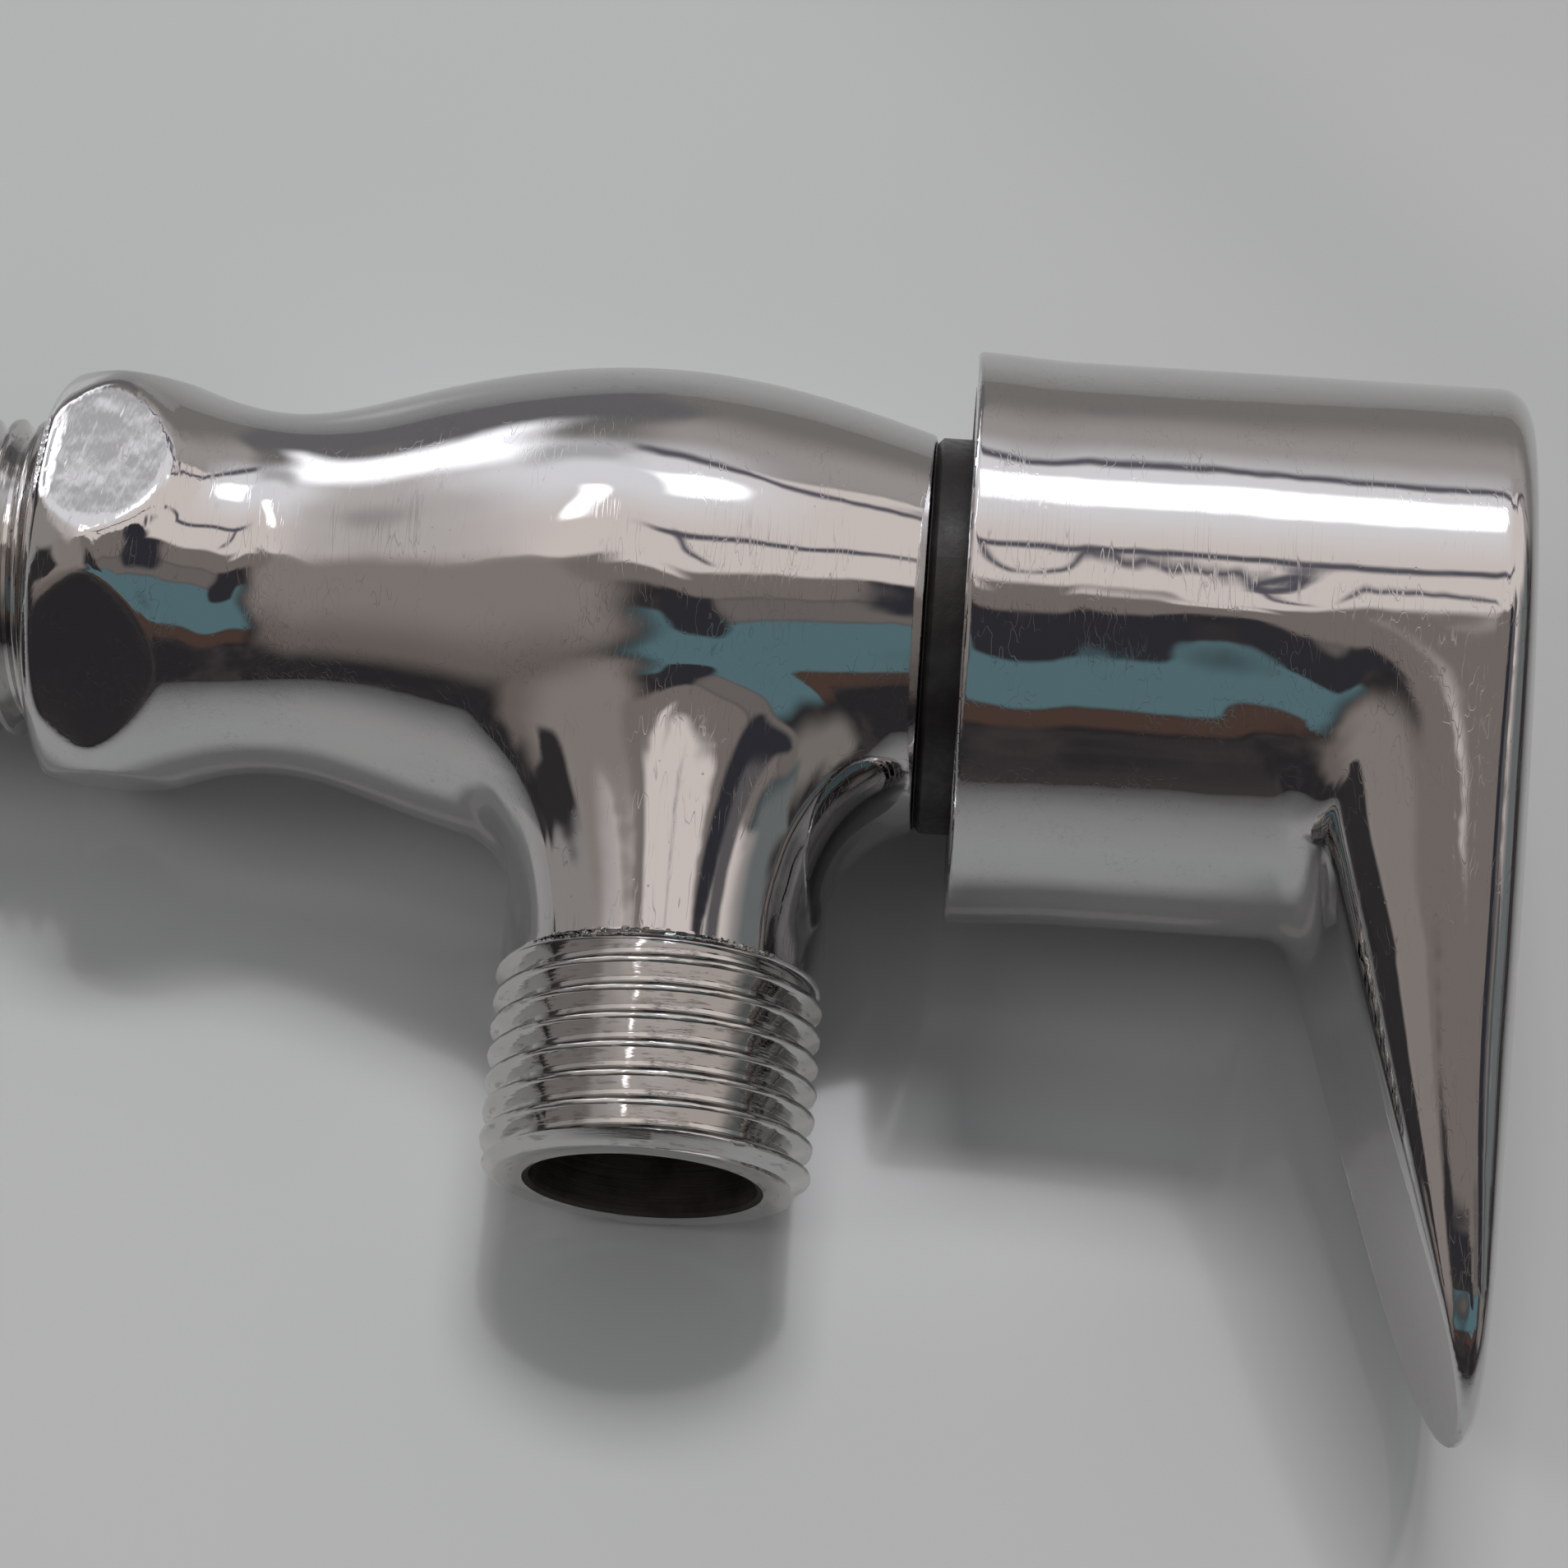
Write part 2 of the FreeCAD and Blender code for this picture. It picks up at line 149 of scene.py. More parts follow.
def carve(piece, cutter, way="DIFFERENCE"):  # the cut faces take the cutter's finish, if it has one
    applyModifier(piece, "BOOLEAN", operation=way, solver="EXACT", object=cutter,
                  material_mode="TRANSFER" if cutter.data.materials else "INDEX")
    bpy.data.objects.remove(cutter)


def slicePiece(piece, place, outward):  # cuts off what lies past a plane and closes the cut
    intoEdit(piece)
    bpy.ops.mesh.bisect(plane_co=Vector(place) * mm, plane_no=outward, use_fill=True,
                        clear_outer=True, clear_inner=False, threshold=1e-7)
    outOfEdit()


def smoothPiece(piece, angle=32):
    pick(piece)
    bpy.ops.object.shade_smooth_by_angle(angle=math.radians(angle))


# A form is a pair: how far each point lies outside it, in mm, and the way straight out there.
def roundedJoin(first, second, radius):
    nearer = first[0] < second[0]
    level = np.where(nearer, first[0], second[0])
    way = np.where(nearer[:, None], first[1], second[1])
    lean = np.clip((first[1] * second[1]).sum(1), -0.97, 0.999)
    spread = 1 - lean ** 2
    fromFirst, fromSecond = radius - first[0], radius - second[0]
    pullFirst, pullSecond = fromFirst - lean * fromSecond, fromSecond - lean * fromFirst
    inHollow = (pullFirst > 0) & (pullSecond > 0)
    away = np.sqrt(np.maximum(fromFirst * pullFirst + fromSecond * pullSecond, 1e-9) / spread)
    hollowWay = (pullFirst[:, None] * first[1] + pullSecond[:, None] * second[1]) / (away * spread)[:, None]
    return np.where(inHollow, radius - away, level), np.where(inHollow[:, None], hollowWay, way)


def turnedInsideOut(form):
    return -form[0], -form[1]


def roundedCommon(first, second, radius):
    return turnedInsideOut(roundedJoin(turnedInsideOut(first), turnedInsideOut(second), radius))


def flatSide(points, way, reach):
    way = np.array(way, float)
    return points @ way - reach, np.broadcast_to(way, points.shape)


def easeStep(values, start, end):
    share = np.clip((values - start) / (end - start), 0, 1)
    return share * share * (3 - 2 * share)


def settleOnForm(piece, form, rounds=4):
    points = readPoints(piece) / mm
    for _ in range(rounds):
        level, way = form(points)
        size = np.maximum((way ** 2).sum(1), 0.2)
        points -= np.clip(level / size, -2, 2)[:, None] * way  # no step over 2 mm
    writePoints(piece, points * mm)


def relaxOnForm(piece, form, times):
    for _ in range(times):
        intoEdit(piece)
        bpy.ops.mesh.vertices_smooth(factor=0.5, repeat=3)
        outOfEdit()
        settleOnForm(piece, form, rounds=5)


def sharpenCreases(piece, form, angle):  # more and smaller faces where the form bends most
    intoEdit(piece, everything=False)
    outOfEdit()
    mesh = piece.data
    faceWays = np.empty(len(mesh.polygons) * 3)
    mesh.polygons.foreach_get("normal", faceWays)
    faceWays = faceWays.reshape(-1, 3)
    firstWay = {}
    limit = math.cos(math.radians(angle))
    bent = np.zeros(len(mesh.vertices), bool)
    for polygon in mesh.polygons:
        way = faceWays[polygon.index]
        for key in polygon.edge_keys:
            other = firstWay.get(key)
            if other is None:
                firstWay[key] = way
            elif float(other @ way) < limit:
                bent[key[0]] = bent[key[1]] = True
    for polygon in mesh.polygons:
        polygon.select = any(bent[index] for index in polygon.vertices)
    bpy.ops.object.mode_set(mode="EDIT")
    bpy.ops.mesh.subdivide(number_cuts=1)
    bpy.ops.mesh.vertices_smooth(factor=0.5, repeat=1)
    outOfEdit()
    settleOnForm(piece, form, rounds=7)


def fairLine(knots):  # fair curve through (place, radius) knots, which gives radius and slope anywhere
    places, radii = np.array(knots, float).T
    gaps = np.diff(places)
    count = len(places)
    matrix = np.eye(count)
    right = np.zeros(count)
    for index in range(1, count - 1):
        matrix[index, index - 1:index + 2] = gaps[index - 1], 2 * (gaps[index - 1] + gaps[index]), gaps[index]
        right[index] = 6 * ((radii[index + 1] - radii[index]) / gaps[index]
                            - (radii[index] - radii[index - 1]) / gaps[index - 1])
    bends = np.linalg.solve(matrix, right)

    def line(place):
        inside = np.clip(place, places[0], places[-1])
        index = np.clip(np.searchsorted(places, inside) - 1, 0, count - 2)
        gap = gaps[index]
        before, after = places[index + 1] - inside, inside - places[index]
        firstBend, lastBend = bends[index], bends[index + 1]
        firstLevel = radii[index] / gap - firstBend * gap / 6
        lastLevel = radii[index + 1] / gap - lastBend * gap / 6
        radius = ((firstBend * before ** 3 + lastBend * after ** 3) / (6 * gap)
                  + firstLevel * before + lastLevel * after)
        slope = ((lastBend * after ** 2 - firstBend * before ** 2) / (2 * gap)
                 - firstLevel + lastLevel)
        return radius + slope * (place - inside), slope
    return line


def newFinish(name):
    material = bpy.data.materials.new(name)
    material.use_nodes = True
    tree = material.node_tree
    tree.nodes.clear()
    output = tree.nodes.new("ShaderNodeOutputMaterial")
    shader = tree.nodes.new("ShaderNodeBsdfPrincipled")
    tree.links.new(shader.outputs[0], output.inputs[0])
    place = tree.nodes.new("ShaderNodeTexCoord").outputs["Object"]
    return material, tree, shader, place


def wire(tree, source, target):
    if isinstance(source, (int, float, tuple)):
        target.default_value = source
    else:
        tree.links.new(source, target)


def mathNode(tree, operation, first, second=0.0, clamp=False):
    node = tree.nodes.new("ShaderNodeMath")
    node.operation = operation
    node.use_clamp = clamp
    wire(tree, first, node.inputs[0])
    wire(tree, second, node.inputs[1])
    return node.outputs[0]


def turnedPlace(tree, place, turn=(0, 0, 0), stretch=(1, 1, 1), shift=(0, 0, 0)):
    node = tree.nodes.new("ShaderNodeMapping")
    wire(tree, place, node.inputs["Vector"])
    node.inputs["Location"].default_value = shift
    node.inputs["Rotation"].default_value = [math.radians(angle) for angle in turn]
    node.inputs["Scale"].default_value = stretch
    return node.outputs[0]


def noiseNode(tree, place, grains, detail=2.0, rough=0.5, distortion=0.0):  # grains: lumps in a metre
    node = tree.nodes.new("ShaderNodeTexNoise")
    wire(tree, place, node.inputs["Vector"])
    node.inputs["Scale"].default_value = grains
    node.inputs["Detail"].default_value = detail
    node.inputs["Roughness"].default_value = rough
    node.inputs["Distortion"].default_value = distortion
    return node.outputs["Fac"]


def window(tree, value, low, high, start=0.0, end=1.0):
    node = tree.nodes.new("ShaderNodeMapRange")
    node.interpolation_type = "SMOOTHSTEP"
    wire(tree, value, node.inputs["Value"])
    node.inputs["From Min"].default_value = low
    node.inputs["From Max"].default_value = high
    node.inputs["To Min"].default_value = start
    node.inputs["To Max"].default_value = end
    return node.outputs[0]


def blendColour(tree, share, first, second):
    node = tree.nodes.new("ShaderNodeMix")
    node.data_type = "RGBA"
    wire(tree, share, node.inputs["Factor"])
    wire(tree, first, node.inputs["A"])
    wire(tree, second, node.inputs["B"])
    return node.outputs["Result"]


def bumpNode(tree, height, depth, after=None):  # depth in metres
    node = tree.nodes.new("ShaderNodeBump")
    node.inputs["Strength"].default_value = 1.0
    node.inputs["Distance"].default_value = depth
    wire(tree, height, node.inputs["Height"])
    if after is not None:
        wire(tree, after, node.inputs["Normal"])
    return node.outputs[0]


markPatches = {"scratchGrains": 210, "scratchEdges": (0.52, 0.66), "pitGrains": 160, "pitEdges": (0.5, 0.62)}


# sparse straight hairlines: stretched noise cut near its middle value, one layer for each turn
def hairScratches(tree, place, turns, grains, thin, stretch=0.03):
    total = None
    for index, turn in enumerate(turns):
        lined = turnedPlace(tree, place, turn, (1, stretch, 1), (0.013 * index, 0.029 * index, 0.007 * index))
        lines = noiseNode(tree, lined, grains, 1.0)
        offset = mathNode(tree, "ABSOLUTE", mathNode(tree, "SUBTRACT", lines, 0.5))
        line = window(tree, offset, 0.0, thin, 1.0, 0.0)
        moved = turnedPlace(tree, place, turn, shift=(0.05 * index, 0, 0))
        patch = window(tree, noiseNode(tree, moved, markPatches["scratchGrains"], 2.0),
                       *markPatches["scratchEdges"])
        layer = mathNode(tree, "MULTIPLY", line, patch)
        total = layer if total is None else mathNode(tree, "MAXIMUM", total, layer)
    return total


def pits(tree, place, grains, size):
    node = tree.nodes.new("ShaderNodeTexVoronoi")
    wire(tree, place, node.inputs["Vector"])
    node.inputs["Scale"].default_value = grains
    apart = node.outputs["Distance"]
    dot = window(tree, apart, size * 0.5, size, 1.0, 0.0)
    some = window(tree, noiseNode(tree, place, markPatches["pitGrains"], 2.0), *markPatches["pitEdges"])
    return mathNode(tree, "MULTIPLY", dot, some)


# grains are lumps in a metre, depths are in metres, turns in degrees
chromeFinish = {
    "colour": (0.64, 0.63, 0.63, 1),
    "worn": (0.53, 0.52, 0.52, 1),
    "gloss": 0.03,
    "glossSpread": (0.6, 1.6),
    "scratchGloss": 0.2,
    "hazeGrains": 900,
    "hazeEdges": (0.35, 0.75),
    "waveGrains": 70,
    "waveDepth": 0.00015,
    "rippleGrains": 380,
    "rippleDepth": 0.000012,
    "lineGrains": 1500,
    "lineWidth": 0.012,
    "lineDepth": 0.0000012,
    "lineTurns": ((20, 35, 10), (75, -20, 50), (-40, 60, 110), (10, 80, -60)),
    "pitGrains": 900,
    "pitSize": 0.09,
}
filedPatch = {                  # the collar's flat that was filed by hand
    "centre": (4.5, 3.5, 13.0),  # in mm, as its radius
    "radius": 6.2,
    "fade": (0.75, 1.1),
    "lineGrains": 2600,
    "lineWidth": 0.03,
    "lineStretch": 0.05,
    "lineTurns": ((60, 15, 20), (40, -30, 70), (80, 10, 130)),
    "strokeGrains": 620,
    "strokeTurn": (70, 10, 35),
    "strokeStretch": (1, 0.22, 1),
    "dentGrains": 240,
    "strokeDepth": 0.00011,
}


def makeChrome(name, patch=None):
    facts = chromeFinish
    material, tree, shader, place = newFinish(name)
    haze = noiseNode(tree, place, facts["hazeGrains"], 4.0, 0.6)
    lines = hairScratches(tree, place, facts["lineTurns"], facts["lineGrains"], facts["lineWidth"])
    holes = pits(tree, place, facts["pitGrains"], facts["pitSize"])
    marks = mathNode(tree, "MAXIMUM", lines, holes)
    if patch:
        apart = tree.nodes.new("ShaderNodeVectorMath")
        apart.operation = "DISTANCE"
        wire(tree, place, apart.inputs[0])
        apart.inputs[1].default_value = [value * mm for value in patch["centre"]]
        full, bare = (patch["radius"] * mm * share for share in patch["fade"])
        near = window(tree, apart.outputs["Value"], full, bare, 1.0, 0.0)
        dense = hairScratches(tree, place, patch["lineTurns"], patch["lineGrains"], patch["lineWidth"],
                              patch["lineStretch"])
        marks = mathNode(tree, "MAXIMUM", marks, mathNode(tree, "MULTIPLY", dense, near))
    shader.inputs["Metallic"].default_value = 1.0
    wire(tree, blendColour(tree, marks, facts["colour"], facts["worn"]), shader.inputs["Base Color"])
    clear, hazy = (facts["gloss"] * spread for spread in facts["glossSpread"])
    gloss = window(tree, haze, *facts["hazeEdges"], clear, hazy)
    rough = mathNode(tree, "ADD", gloss, mathNode(tree, "MULTIPLY", marks, facts["scratchGloss"]))
    wire(tree, rough, shader.inputs["Roughness"])
    waves = bumpNode(tree, noiseNode(tree, place, facts["waveGrains"], 1.0), facts["waveDepth"])
    waves = bumpNode(tree, noiseNode(tree, place, facts["rippleGrains"], 1.0), facts["rippleDepth"], waves)
    if patch:
        drawn = turnedPlace(tree, place, patch["strokeTurn"], patch["strokeStretch"])
        strokes = noiseNode(tree, drawn, patch["strokeGrains"], 3.0, 0.55)
        dents = mathNode(tree, "ADD", strokes, noiseNode(tree, place, patch["dentGrains"], 2.0))
        waves = bumpNode(tree, mathNode(tree, "MULTIPLY", dents, near), patch["strokeDepth"], waves)
    wire(tree, bumpNode(tree, mathNode(tree, "SUBTRACT", 1.0, marks), facts["lineDepth"], waves),
         shader.inputs["Normal"])
    return material


threadFinish = {
    "colour": (0.62, 0.61, 0.60, 1),
    "torn": (0.42, 0.40, 0.38, 1),
    "gloss": 0.03,
    "tornGloss": 0.22,
    "tearGrains": 3600,
    "tearStretch": (0.07, 1, 0.5),
    "tearEdges": (0.5, 0.62),
    "tearDepth": 0.000016,
    "fleckGrains": 1500,
    "fleckStretch": (0.35, 1, 1),
    "fleckEdges": (0.52, 0.62),
}


# turn round the axis, way along it, distance from it: a radian counts as 10 mm
def roundPlace(tree, place, centre, lengthwise):
    moved = turnedPlace(tree, place, shift=[-value * mm for value in centre])
    split = tree.nodes.new("ShaderNodeSeparateXYZ")
    wire(tree, moved, split.inputs[0])
    across = [axis for axis in "XYZ" if axis != lengthwise]
    turn = mathNode(tree, "ARCTAN2", split.outputs[across[0]], split.outputs[across[1]])
    merged = tree.nodes.new("ShaderNodeCombineXYZ")
    wire(tree, mathNode(tree, "MULTIPLY", turn, 0.01), merged.inputs[0])
    wire(tree, split.outputs[lengthwise], merged.inputs[1])
    away = mathNode(tree, "SQRT", mathNode(tree, "ADD",
                    mathNode(tree, "POWER", split.outputs[across[0]], 2.0),
                    mathNode(tree, "POWER", split.outputs[across[1]], 2.0)))
    wire(tree, away, merged.inputs[2])
    return merged.outputs[0]


def makeThreadFinish(name, centre, lengthwise):
    facts = threadFinish
    material, tree, shader, place = newFinish(name)
    rolled = roundPlace(tree, place, centre, lengthwise)
    drawn = turnedPlace(tree, rolled, stretch=facts["tearStretch"])
    tears = noiseNode(tree, drawn, facts["tearGrains"], 3.0, 0.6)
    fleckPlace = turnedPlace(tree, rolled, stretch=facts["fleckStretch"])
    flecks = window(tree, noiseNode(tree, fleckPlace, facts["fleckGrains"], 3.0), *facts["fleckEdges"])
    torn = mathNode(tree, "MULTIPLY", window(tree, tears, *facts["tearEdges"]), flecks)
    wire(tree, blendColour(tree, torn, facts["colour"], facts["torn"]), shader.inputs["Base Color"])
    shader.inputs["Metallic"].default_value = 1.0
    wire(tree, window(tree, torn, 0, 1, facts["gloss"], facts["tornGloss"]), shader.inputs["Roughness"])
    wire(tree, bumpNode(tree, tears, facts["tearDepth"]), shader.inputs["Normal"])
    return material


boreFinish = {                  # turned metal with tool rings
    "ringStretch": (0.04, 1, 0),
    "ringDepth": 0.00014,
    "gloss": (0.42, 0.65),
    "stainGrains": 240,
    "stainDetail": 3.0,
    "stainEdges": (0.4, 0.65),
    "stained": 0.55,
    "edgeTint": 3,
}
turnedFinish = {                # brass and steel from the lathe
    "ringStretch": (0.05, 1, 1),
    "ringDepth": 0.00003,
    "gloss": (0.2, 0.36),
    "stainGrains": 320,
    "stainDetail": 4.0,
    "stainEdges": (0.42, 0.7),
    "stained": 0.7,
}
softFinish = {                  # rubber, plastic and ceramic
    "cloudGrains": 260,
    "cloudEdges": (0.45, 0.75),
    "paler": 1.25,
    "glossSpread": (0.8, 1.2),
}


def shaded(colour, share, lift=0.0):
    return tuple(min(1.0, value * share + lift) for value in colour[:3]) + (1,)


def makeTurned(name, facts, colour, rings, centre=(0, 0, 0), lengthwise="X", shine=1.0):
    material, tree, shader, place = newFinish(name)
    rolled = roundPlace(tree, place, centre, lengthwise)
    drawn = turnedPlace(tree, rolled, stretch=facts["ringStretch"])
    groove = noiseNode(tree, drawn, rings, 3.0, 0.6)
    stain = noiseNode(tree, place, facts["stainGrains"], facts["stainDetail"], 0.6)
    share = window(tree, stain, *facts["stainEdges"])
    wire(tree, blendColour(tree, share, colour, shaded(colour, facts["stained"])), shader.inputs["Base Color"])
    shader.inputs["Metallic"].default_value = shine
    if "edgeTint" in facts:
        shader.inputs["Specular Tint"].default_value = shaded(colour, facts["edgeTint"])
    wire(tree, window(tree, groove, 0.3, 0.7, *facts["gloss"]), shader.inputs["Roughness"])
    wire(tree, bumpNode(tree, groove, facts["ringDepth"]), shader.inputs["Normal"])
    return material


def makeSoftFinish(name, colour, gloss, grain=2200, depth=0.00002, dust=0.0):
    facts = softFinish
    material, tree, shader, place = newFinish(name)
    fine = noiseNode(tree, place, grain, 3.0, 0.6)
    cloud = noiseNode(tree, place, facts["cloudGrains"], 3.0, 0.6)
    share = window(tree, cloud, *facts["cloudEdges"])
    pale = shaded(colour, facts["paler"], dust)
    wire(tree, blendColour(tree, share, colour, pale), shader.inputs["Base Color"])
    dull, dullest = (gloss * spread for spread in facts["glossSpread"])
    wire(tree, window(tree, fine, 0.3, 0.7, dull, dullest), shader.inputs["Roughness"])
    wire(tree, bumpNode(tree, fine, depth), shader.inputs["Normal"])
    return material


chromeBody = makeChrome("chromeBody", filedPatch)
chromeHandle = makeChrome("chromeHandle")
# outlet bore: turned metal with tool rings and stains; its near-black colour and dark edge tint are painted
# shade of the deep bore
outletBorePaintedShade = makeTurned("outletBorePaintedShade", boreFinish, (0.05, 0.042, 0.037, 1), 1400, (42, 0, 0), "Y", 0.25)
inletMetal = makeTurned("inletMetal", boreFinish, (0.5, 0.46, 0.4, 1), 1400)
cupMetal = makeTurned("cupMetal", boreFinish, (0.4, 0.39, 0.38, 1), 700)
brassFinish = makeTurned("brass", turnedFinish, (0.72, 0.56, 0.30, 1), 2600)
steelFinish = makeTurned("steel", turnedFinish, (0.55, 0.55, 0.56, 1), 2600)
blackRubber = makeSoftFinish("blackRubber", (0.022, 0.021, 0.021, 1), 0.55)
blackCollar = makeSoftFinish("blackCollar", (0.018, 0.016, 0.015, 1), 0.34, 1600, 0.00003, 0.012)
whitePlastic = makeSoftFinish("whitePlastic", (0.78, 0.78, 0.75, 1), 0.4)
ceramicFinish = makeSoftFinish("ceramic", (0.80, 0.79, 0.76, 1), 0.18, 3000, 0.000004)
print("stage: finishes made")


bodyLow, bodyHigh = (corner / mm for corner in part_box("valve_body"))
castingForm = {
    "knots": ((1.3, 13.8), (4.2, 14.6), (8.5, 13.35), (15.0, 11.95), (24.0, 13.95),
              (39.5, 16.38), (50.0, 15.1), (57.4, 13.1)),
    "backRadius": 12.2,
    "backEdge": 2.2,            # rounding of the collar's back edge, less at the flats
    "flatBackEdge": 0.6,
    "frontEdge": 0.4,           # rounding at the handle's end
    "flatAcross": 26.4,
    "flatTurn": 15.0,
    "flatEdge": 1.8,            # rounding between a flat and the turned form
    "flatsEnd": (12.0, 15.0),   # the flats fade out here, by rising
    "flatsRise": 30.0,
    "outletPlace": 42.0,
    "branchRadius": 10.3,
    "branchEdge": 0.35,
    "saddleInlet": 3.2,         # blend radius on the inlet's side, on the handle's side,
    "saddleHandle": 5.4,        # and over the front and the back of the branch
    "saddleFront": 27.0,
    "saddleRun": (-6.0, 8.0),   # from the inlet's side to the handle's, round the outlet's place
    "saddleSwell": 1.6,
    "threadStart": 25.5,
    "grain": 0.42,
}
castingLine = fairLine(castingForm["knots"])
bodyEnd = round(bodyHigh.x, 2)


def castingShape(points):
    facts = castingForm
    x, y, z = points.T
    away = np.maximum(np.hypot(y, z), 1e-6)
    radius, slope = castingLine(x)
    steep = np.hypot(1, slope)
    turned = (away - radius) / steep, np.stack([-slope, y / away, z / away], 1) / steep[:, None]
    collar = roundedCommon(turned, flatSide(points, (1, 0, 0), bodyEnd), facts["frontEdge"])
    backFace = flatSide(points, (-1, 0, 0), 0)
    collar = roundedCommon(collar, backFace, facts["backEdge"])
    for index in range(6):
        angle = math.radians(facts["flatTurn"] + 60 * index)
        level, way = flatSide(points, (0, math.sin(angle), math.cos(angle)), facts["flatAcross"] / 2)
        level = level - facts["flatsRise"] * easeStep(x, *facts["flatsEnd"])
        flat = roundedCommon((level, way), backFace, facts["flatBackEdge"])
        collar = roundedCommon(collar, flat, facts["flatEdge"])
    fromOutlet = np.maximum(np.hypot(x - facts["outletPlace"], z), 1e-6)
    outward = np.stack([(x - facts["outletPlace"]) / fromOutlet, np.zeros(len(x)), z / fromOutlet], 1)
    branch = roundedCommon((fromOutlet - facts["branchRadius"], outward),
                           flatSide(points, (0, -1, 0), facts["threadStart"]), facts["branchEdge"])
    branch = roundedCommon(branch, flatSide(points, (0, 1, 0), 0), 0.01)
    toHandle = easeStep(x - facts["outletPlace"], *facts["saddleRun"])
    saddle = facts["saddleInlet"] + (facts["saddleHandle"] - facts["saddleInlet"]) * toHandle
    facing = np.abs(z) / fromOutlet
    saddle = saddle + (facts["saddleFront"] - saddle) * facing ** facts["saddleSwell"]
    return roundedJoin(collar, branch, saddle)


def makeCasting():
    facts = castingForm
    stations = [(0, facts["backRadius"])] + list(facts["knots"])
    stations.append((bodyEnd, facts["knots"][-1][1]))
    casting = turnedBlank("castBody", stations, 64)
    aim(casting, (0, 0, 0), (1, 0, 0))
    radius = facts["branchRadius"]
    branch = turnedBlank("branchBlank", [(0, radius), (8, radius), (facts["threadStart"], radius)], 64)
    aim(branch, (facts["outletPlace"], 0, 0), (0, -1, 0))
    joinPieces(casting, branch)
    applyModifier(casting, "REMESH", mode="VOXEL", voxel_size=facts["grain"] * mm)
    settleOnForm(casting, castingShape, 12)
    relaxOnForm(casting, castingShape, 3)
    sharpenCreases(casting, castingShape, 12)
    sharpenCreases(casting, castingShape, 14)
    casting.data.materials.append(chromeBody)
    return casting


waterWays = {
    "inletRadius": 6.8,
    "outletRadius": 7.1,
    "seatPlace": 33.0,
    "chamberRadius": 9.3,
    "mouthPlace": 49.4,
    "mouthRadius": 10.4975,
    "outletReach": (0.5, 27.5),
}


def boreCasting(casting):
    facts = waterWays
    along = turnedBlank("wayAlong", [(-2, facts["inletRadius"]), (facts["seatPlace"], facts["inletRadius"]),
                                     (facts["seatPlace"] + 0.001, facts["chamberRadius"]),
                                     (facts["mouthPlace"], facts["chamberRadius"]),
                                     (facts["mouthPlace"] + 0.001, facts["mouthRadius"]),
                                     (bodyEnd + 2, facts["mouthRadius"])], 128)
    aim(along, (0, 0, 0), (1, 0, 0))
    along.data.materials.append(inletMetal)
    carve(casting, along)
    down = turnedBlank("wayDown", [(place, facts["outletRadius"]) for place in facts["outletReach"]], 128)
    aim(down, (castingForm["outletPlace"], 0, 0), (0, -1, 0))
    # the outlet bore takes the turned finish with painted shade
    down.data.materials.append(outletBorePaintedShade)
    carve(casting, down)
    smoothPiece(casting)


castBody = makeCasting()
boreCasting(castBody)
print("stage: casting made", len(castBody.data.polygons))


pipeThread = {
    "major": 20.955 / 2,
    "minor": 18.631 / 2,
    "pitch": 1.814,
    "crest": 0.30,
    "root": 0.26,
    "rounding": 0.07,
    "steps": 144,
    "tear": 0.07,               # the most that a torn crest loses
    "tearHeight": 0.35,
    "tearStart": (0.2, 1.6),
    "tearLumps": (9, 1.7),      # lumps round the thread and along it, then finer ones
    "fineLumps": (31, 4),
    "fineShare": 0.5,
    "tearBase": 0.25,
    # (way back from the thread's end, less than the major radius)
    "tipSteps": ((0.9, -0.4), (0.899, 0.0), (0.35, 0.558), (0.1, 0.9), (-0.001, 1.2), (-1.0, 1.2)),
    # (way back from the thread's end, more than the bore's radius)
    "mouthSteps": ((0.55, 0.0), (0.2, 0.12), (0.0, 0.5), (-0.5, 1.0)),
}


def threadProfile():
    facts = pipeThread
    flank = (facts["pitch"] - facts["crest"] - facts["root"]) / 2
    edge = facts["rounding"]
    low, high = facts["minor"], facts["major"]
    start = facts["root"] / 2
    top = start + flank
    return [(0, low), (start, low), (start + edge, low + edge), (top - edge, high - edge * 1.6),
            (top, high - edge * 0.4), (top + edge, high), (top + facts["crest"] - edge, high),
            (top + facts["crest"], high - edge * 0.4), (top + facts["crest"] + edge, high - edge * 1.6),
            (facts["pitch"] - start - edge, low + edge), (facts["pitch"] - start, low), (facts["pitch"], low)]


def lump(angle, place, around, lengthwise):
    return noise.noise(Vector((around * math.cos(angle), around * math.sin(angle), place * lengthwise)))


def tearCrests(thread):  # the cutter left the crests ragged: they lose a little in short stretches
    facts = pipeThread
    points = readPoints(thread) / mm
    away = np.hypot(points[:, 0], points[:, 1])
    turn = np.arctan2(points[:, 1], points[:, 0])
    high = easeStep(away, facts["major"] - facts["tearHeight"], facts["major"])
    high = high * easeStep(points[:, 2], *facts["tearStart"])
    for index in np.nonzero(high > 0)[0]:
        angle, place = turn[index], points[index, 2]
        rough = lump(angle, place, *facts["tearLumps"])
        finer = lump(angle, place, *facts["fineLumps"])
        loss = facts["tear"] * max(0.0, facts["tearBase"] + rough + facts["fineShare"] * finer) * high[index]
        points[index, :2] *= 1 - loss / away[index]
    writePoints(thread, points * mm)


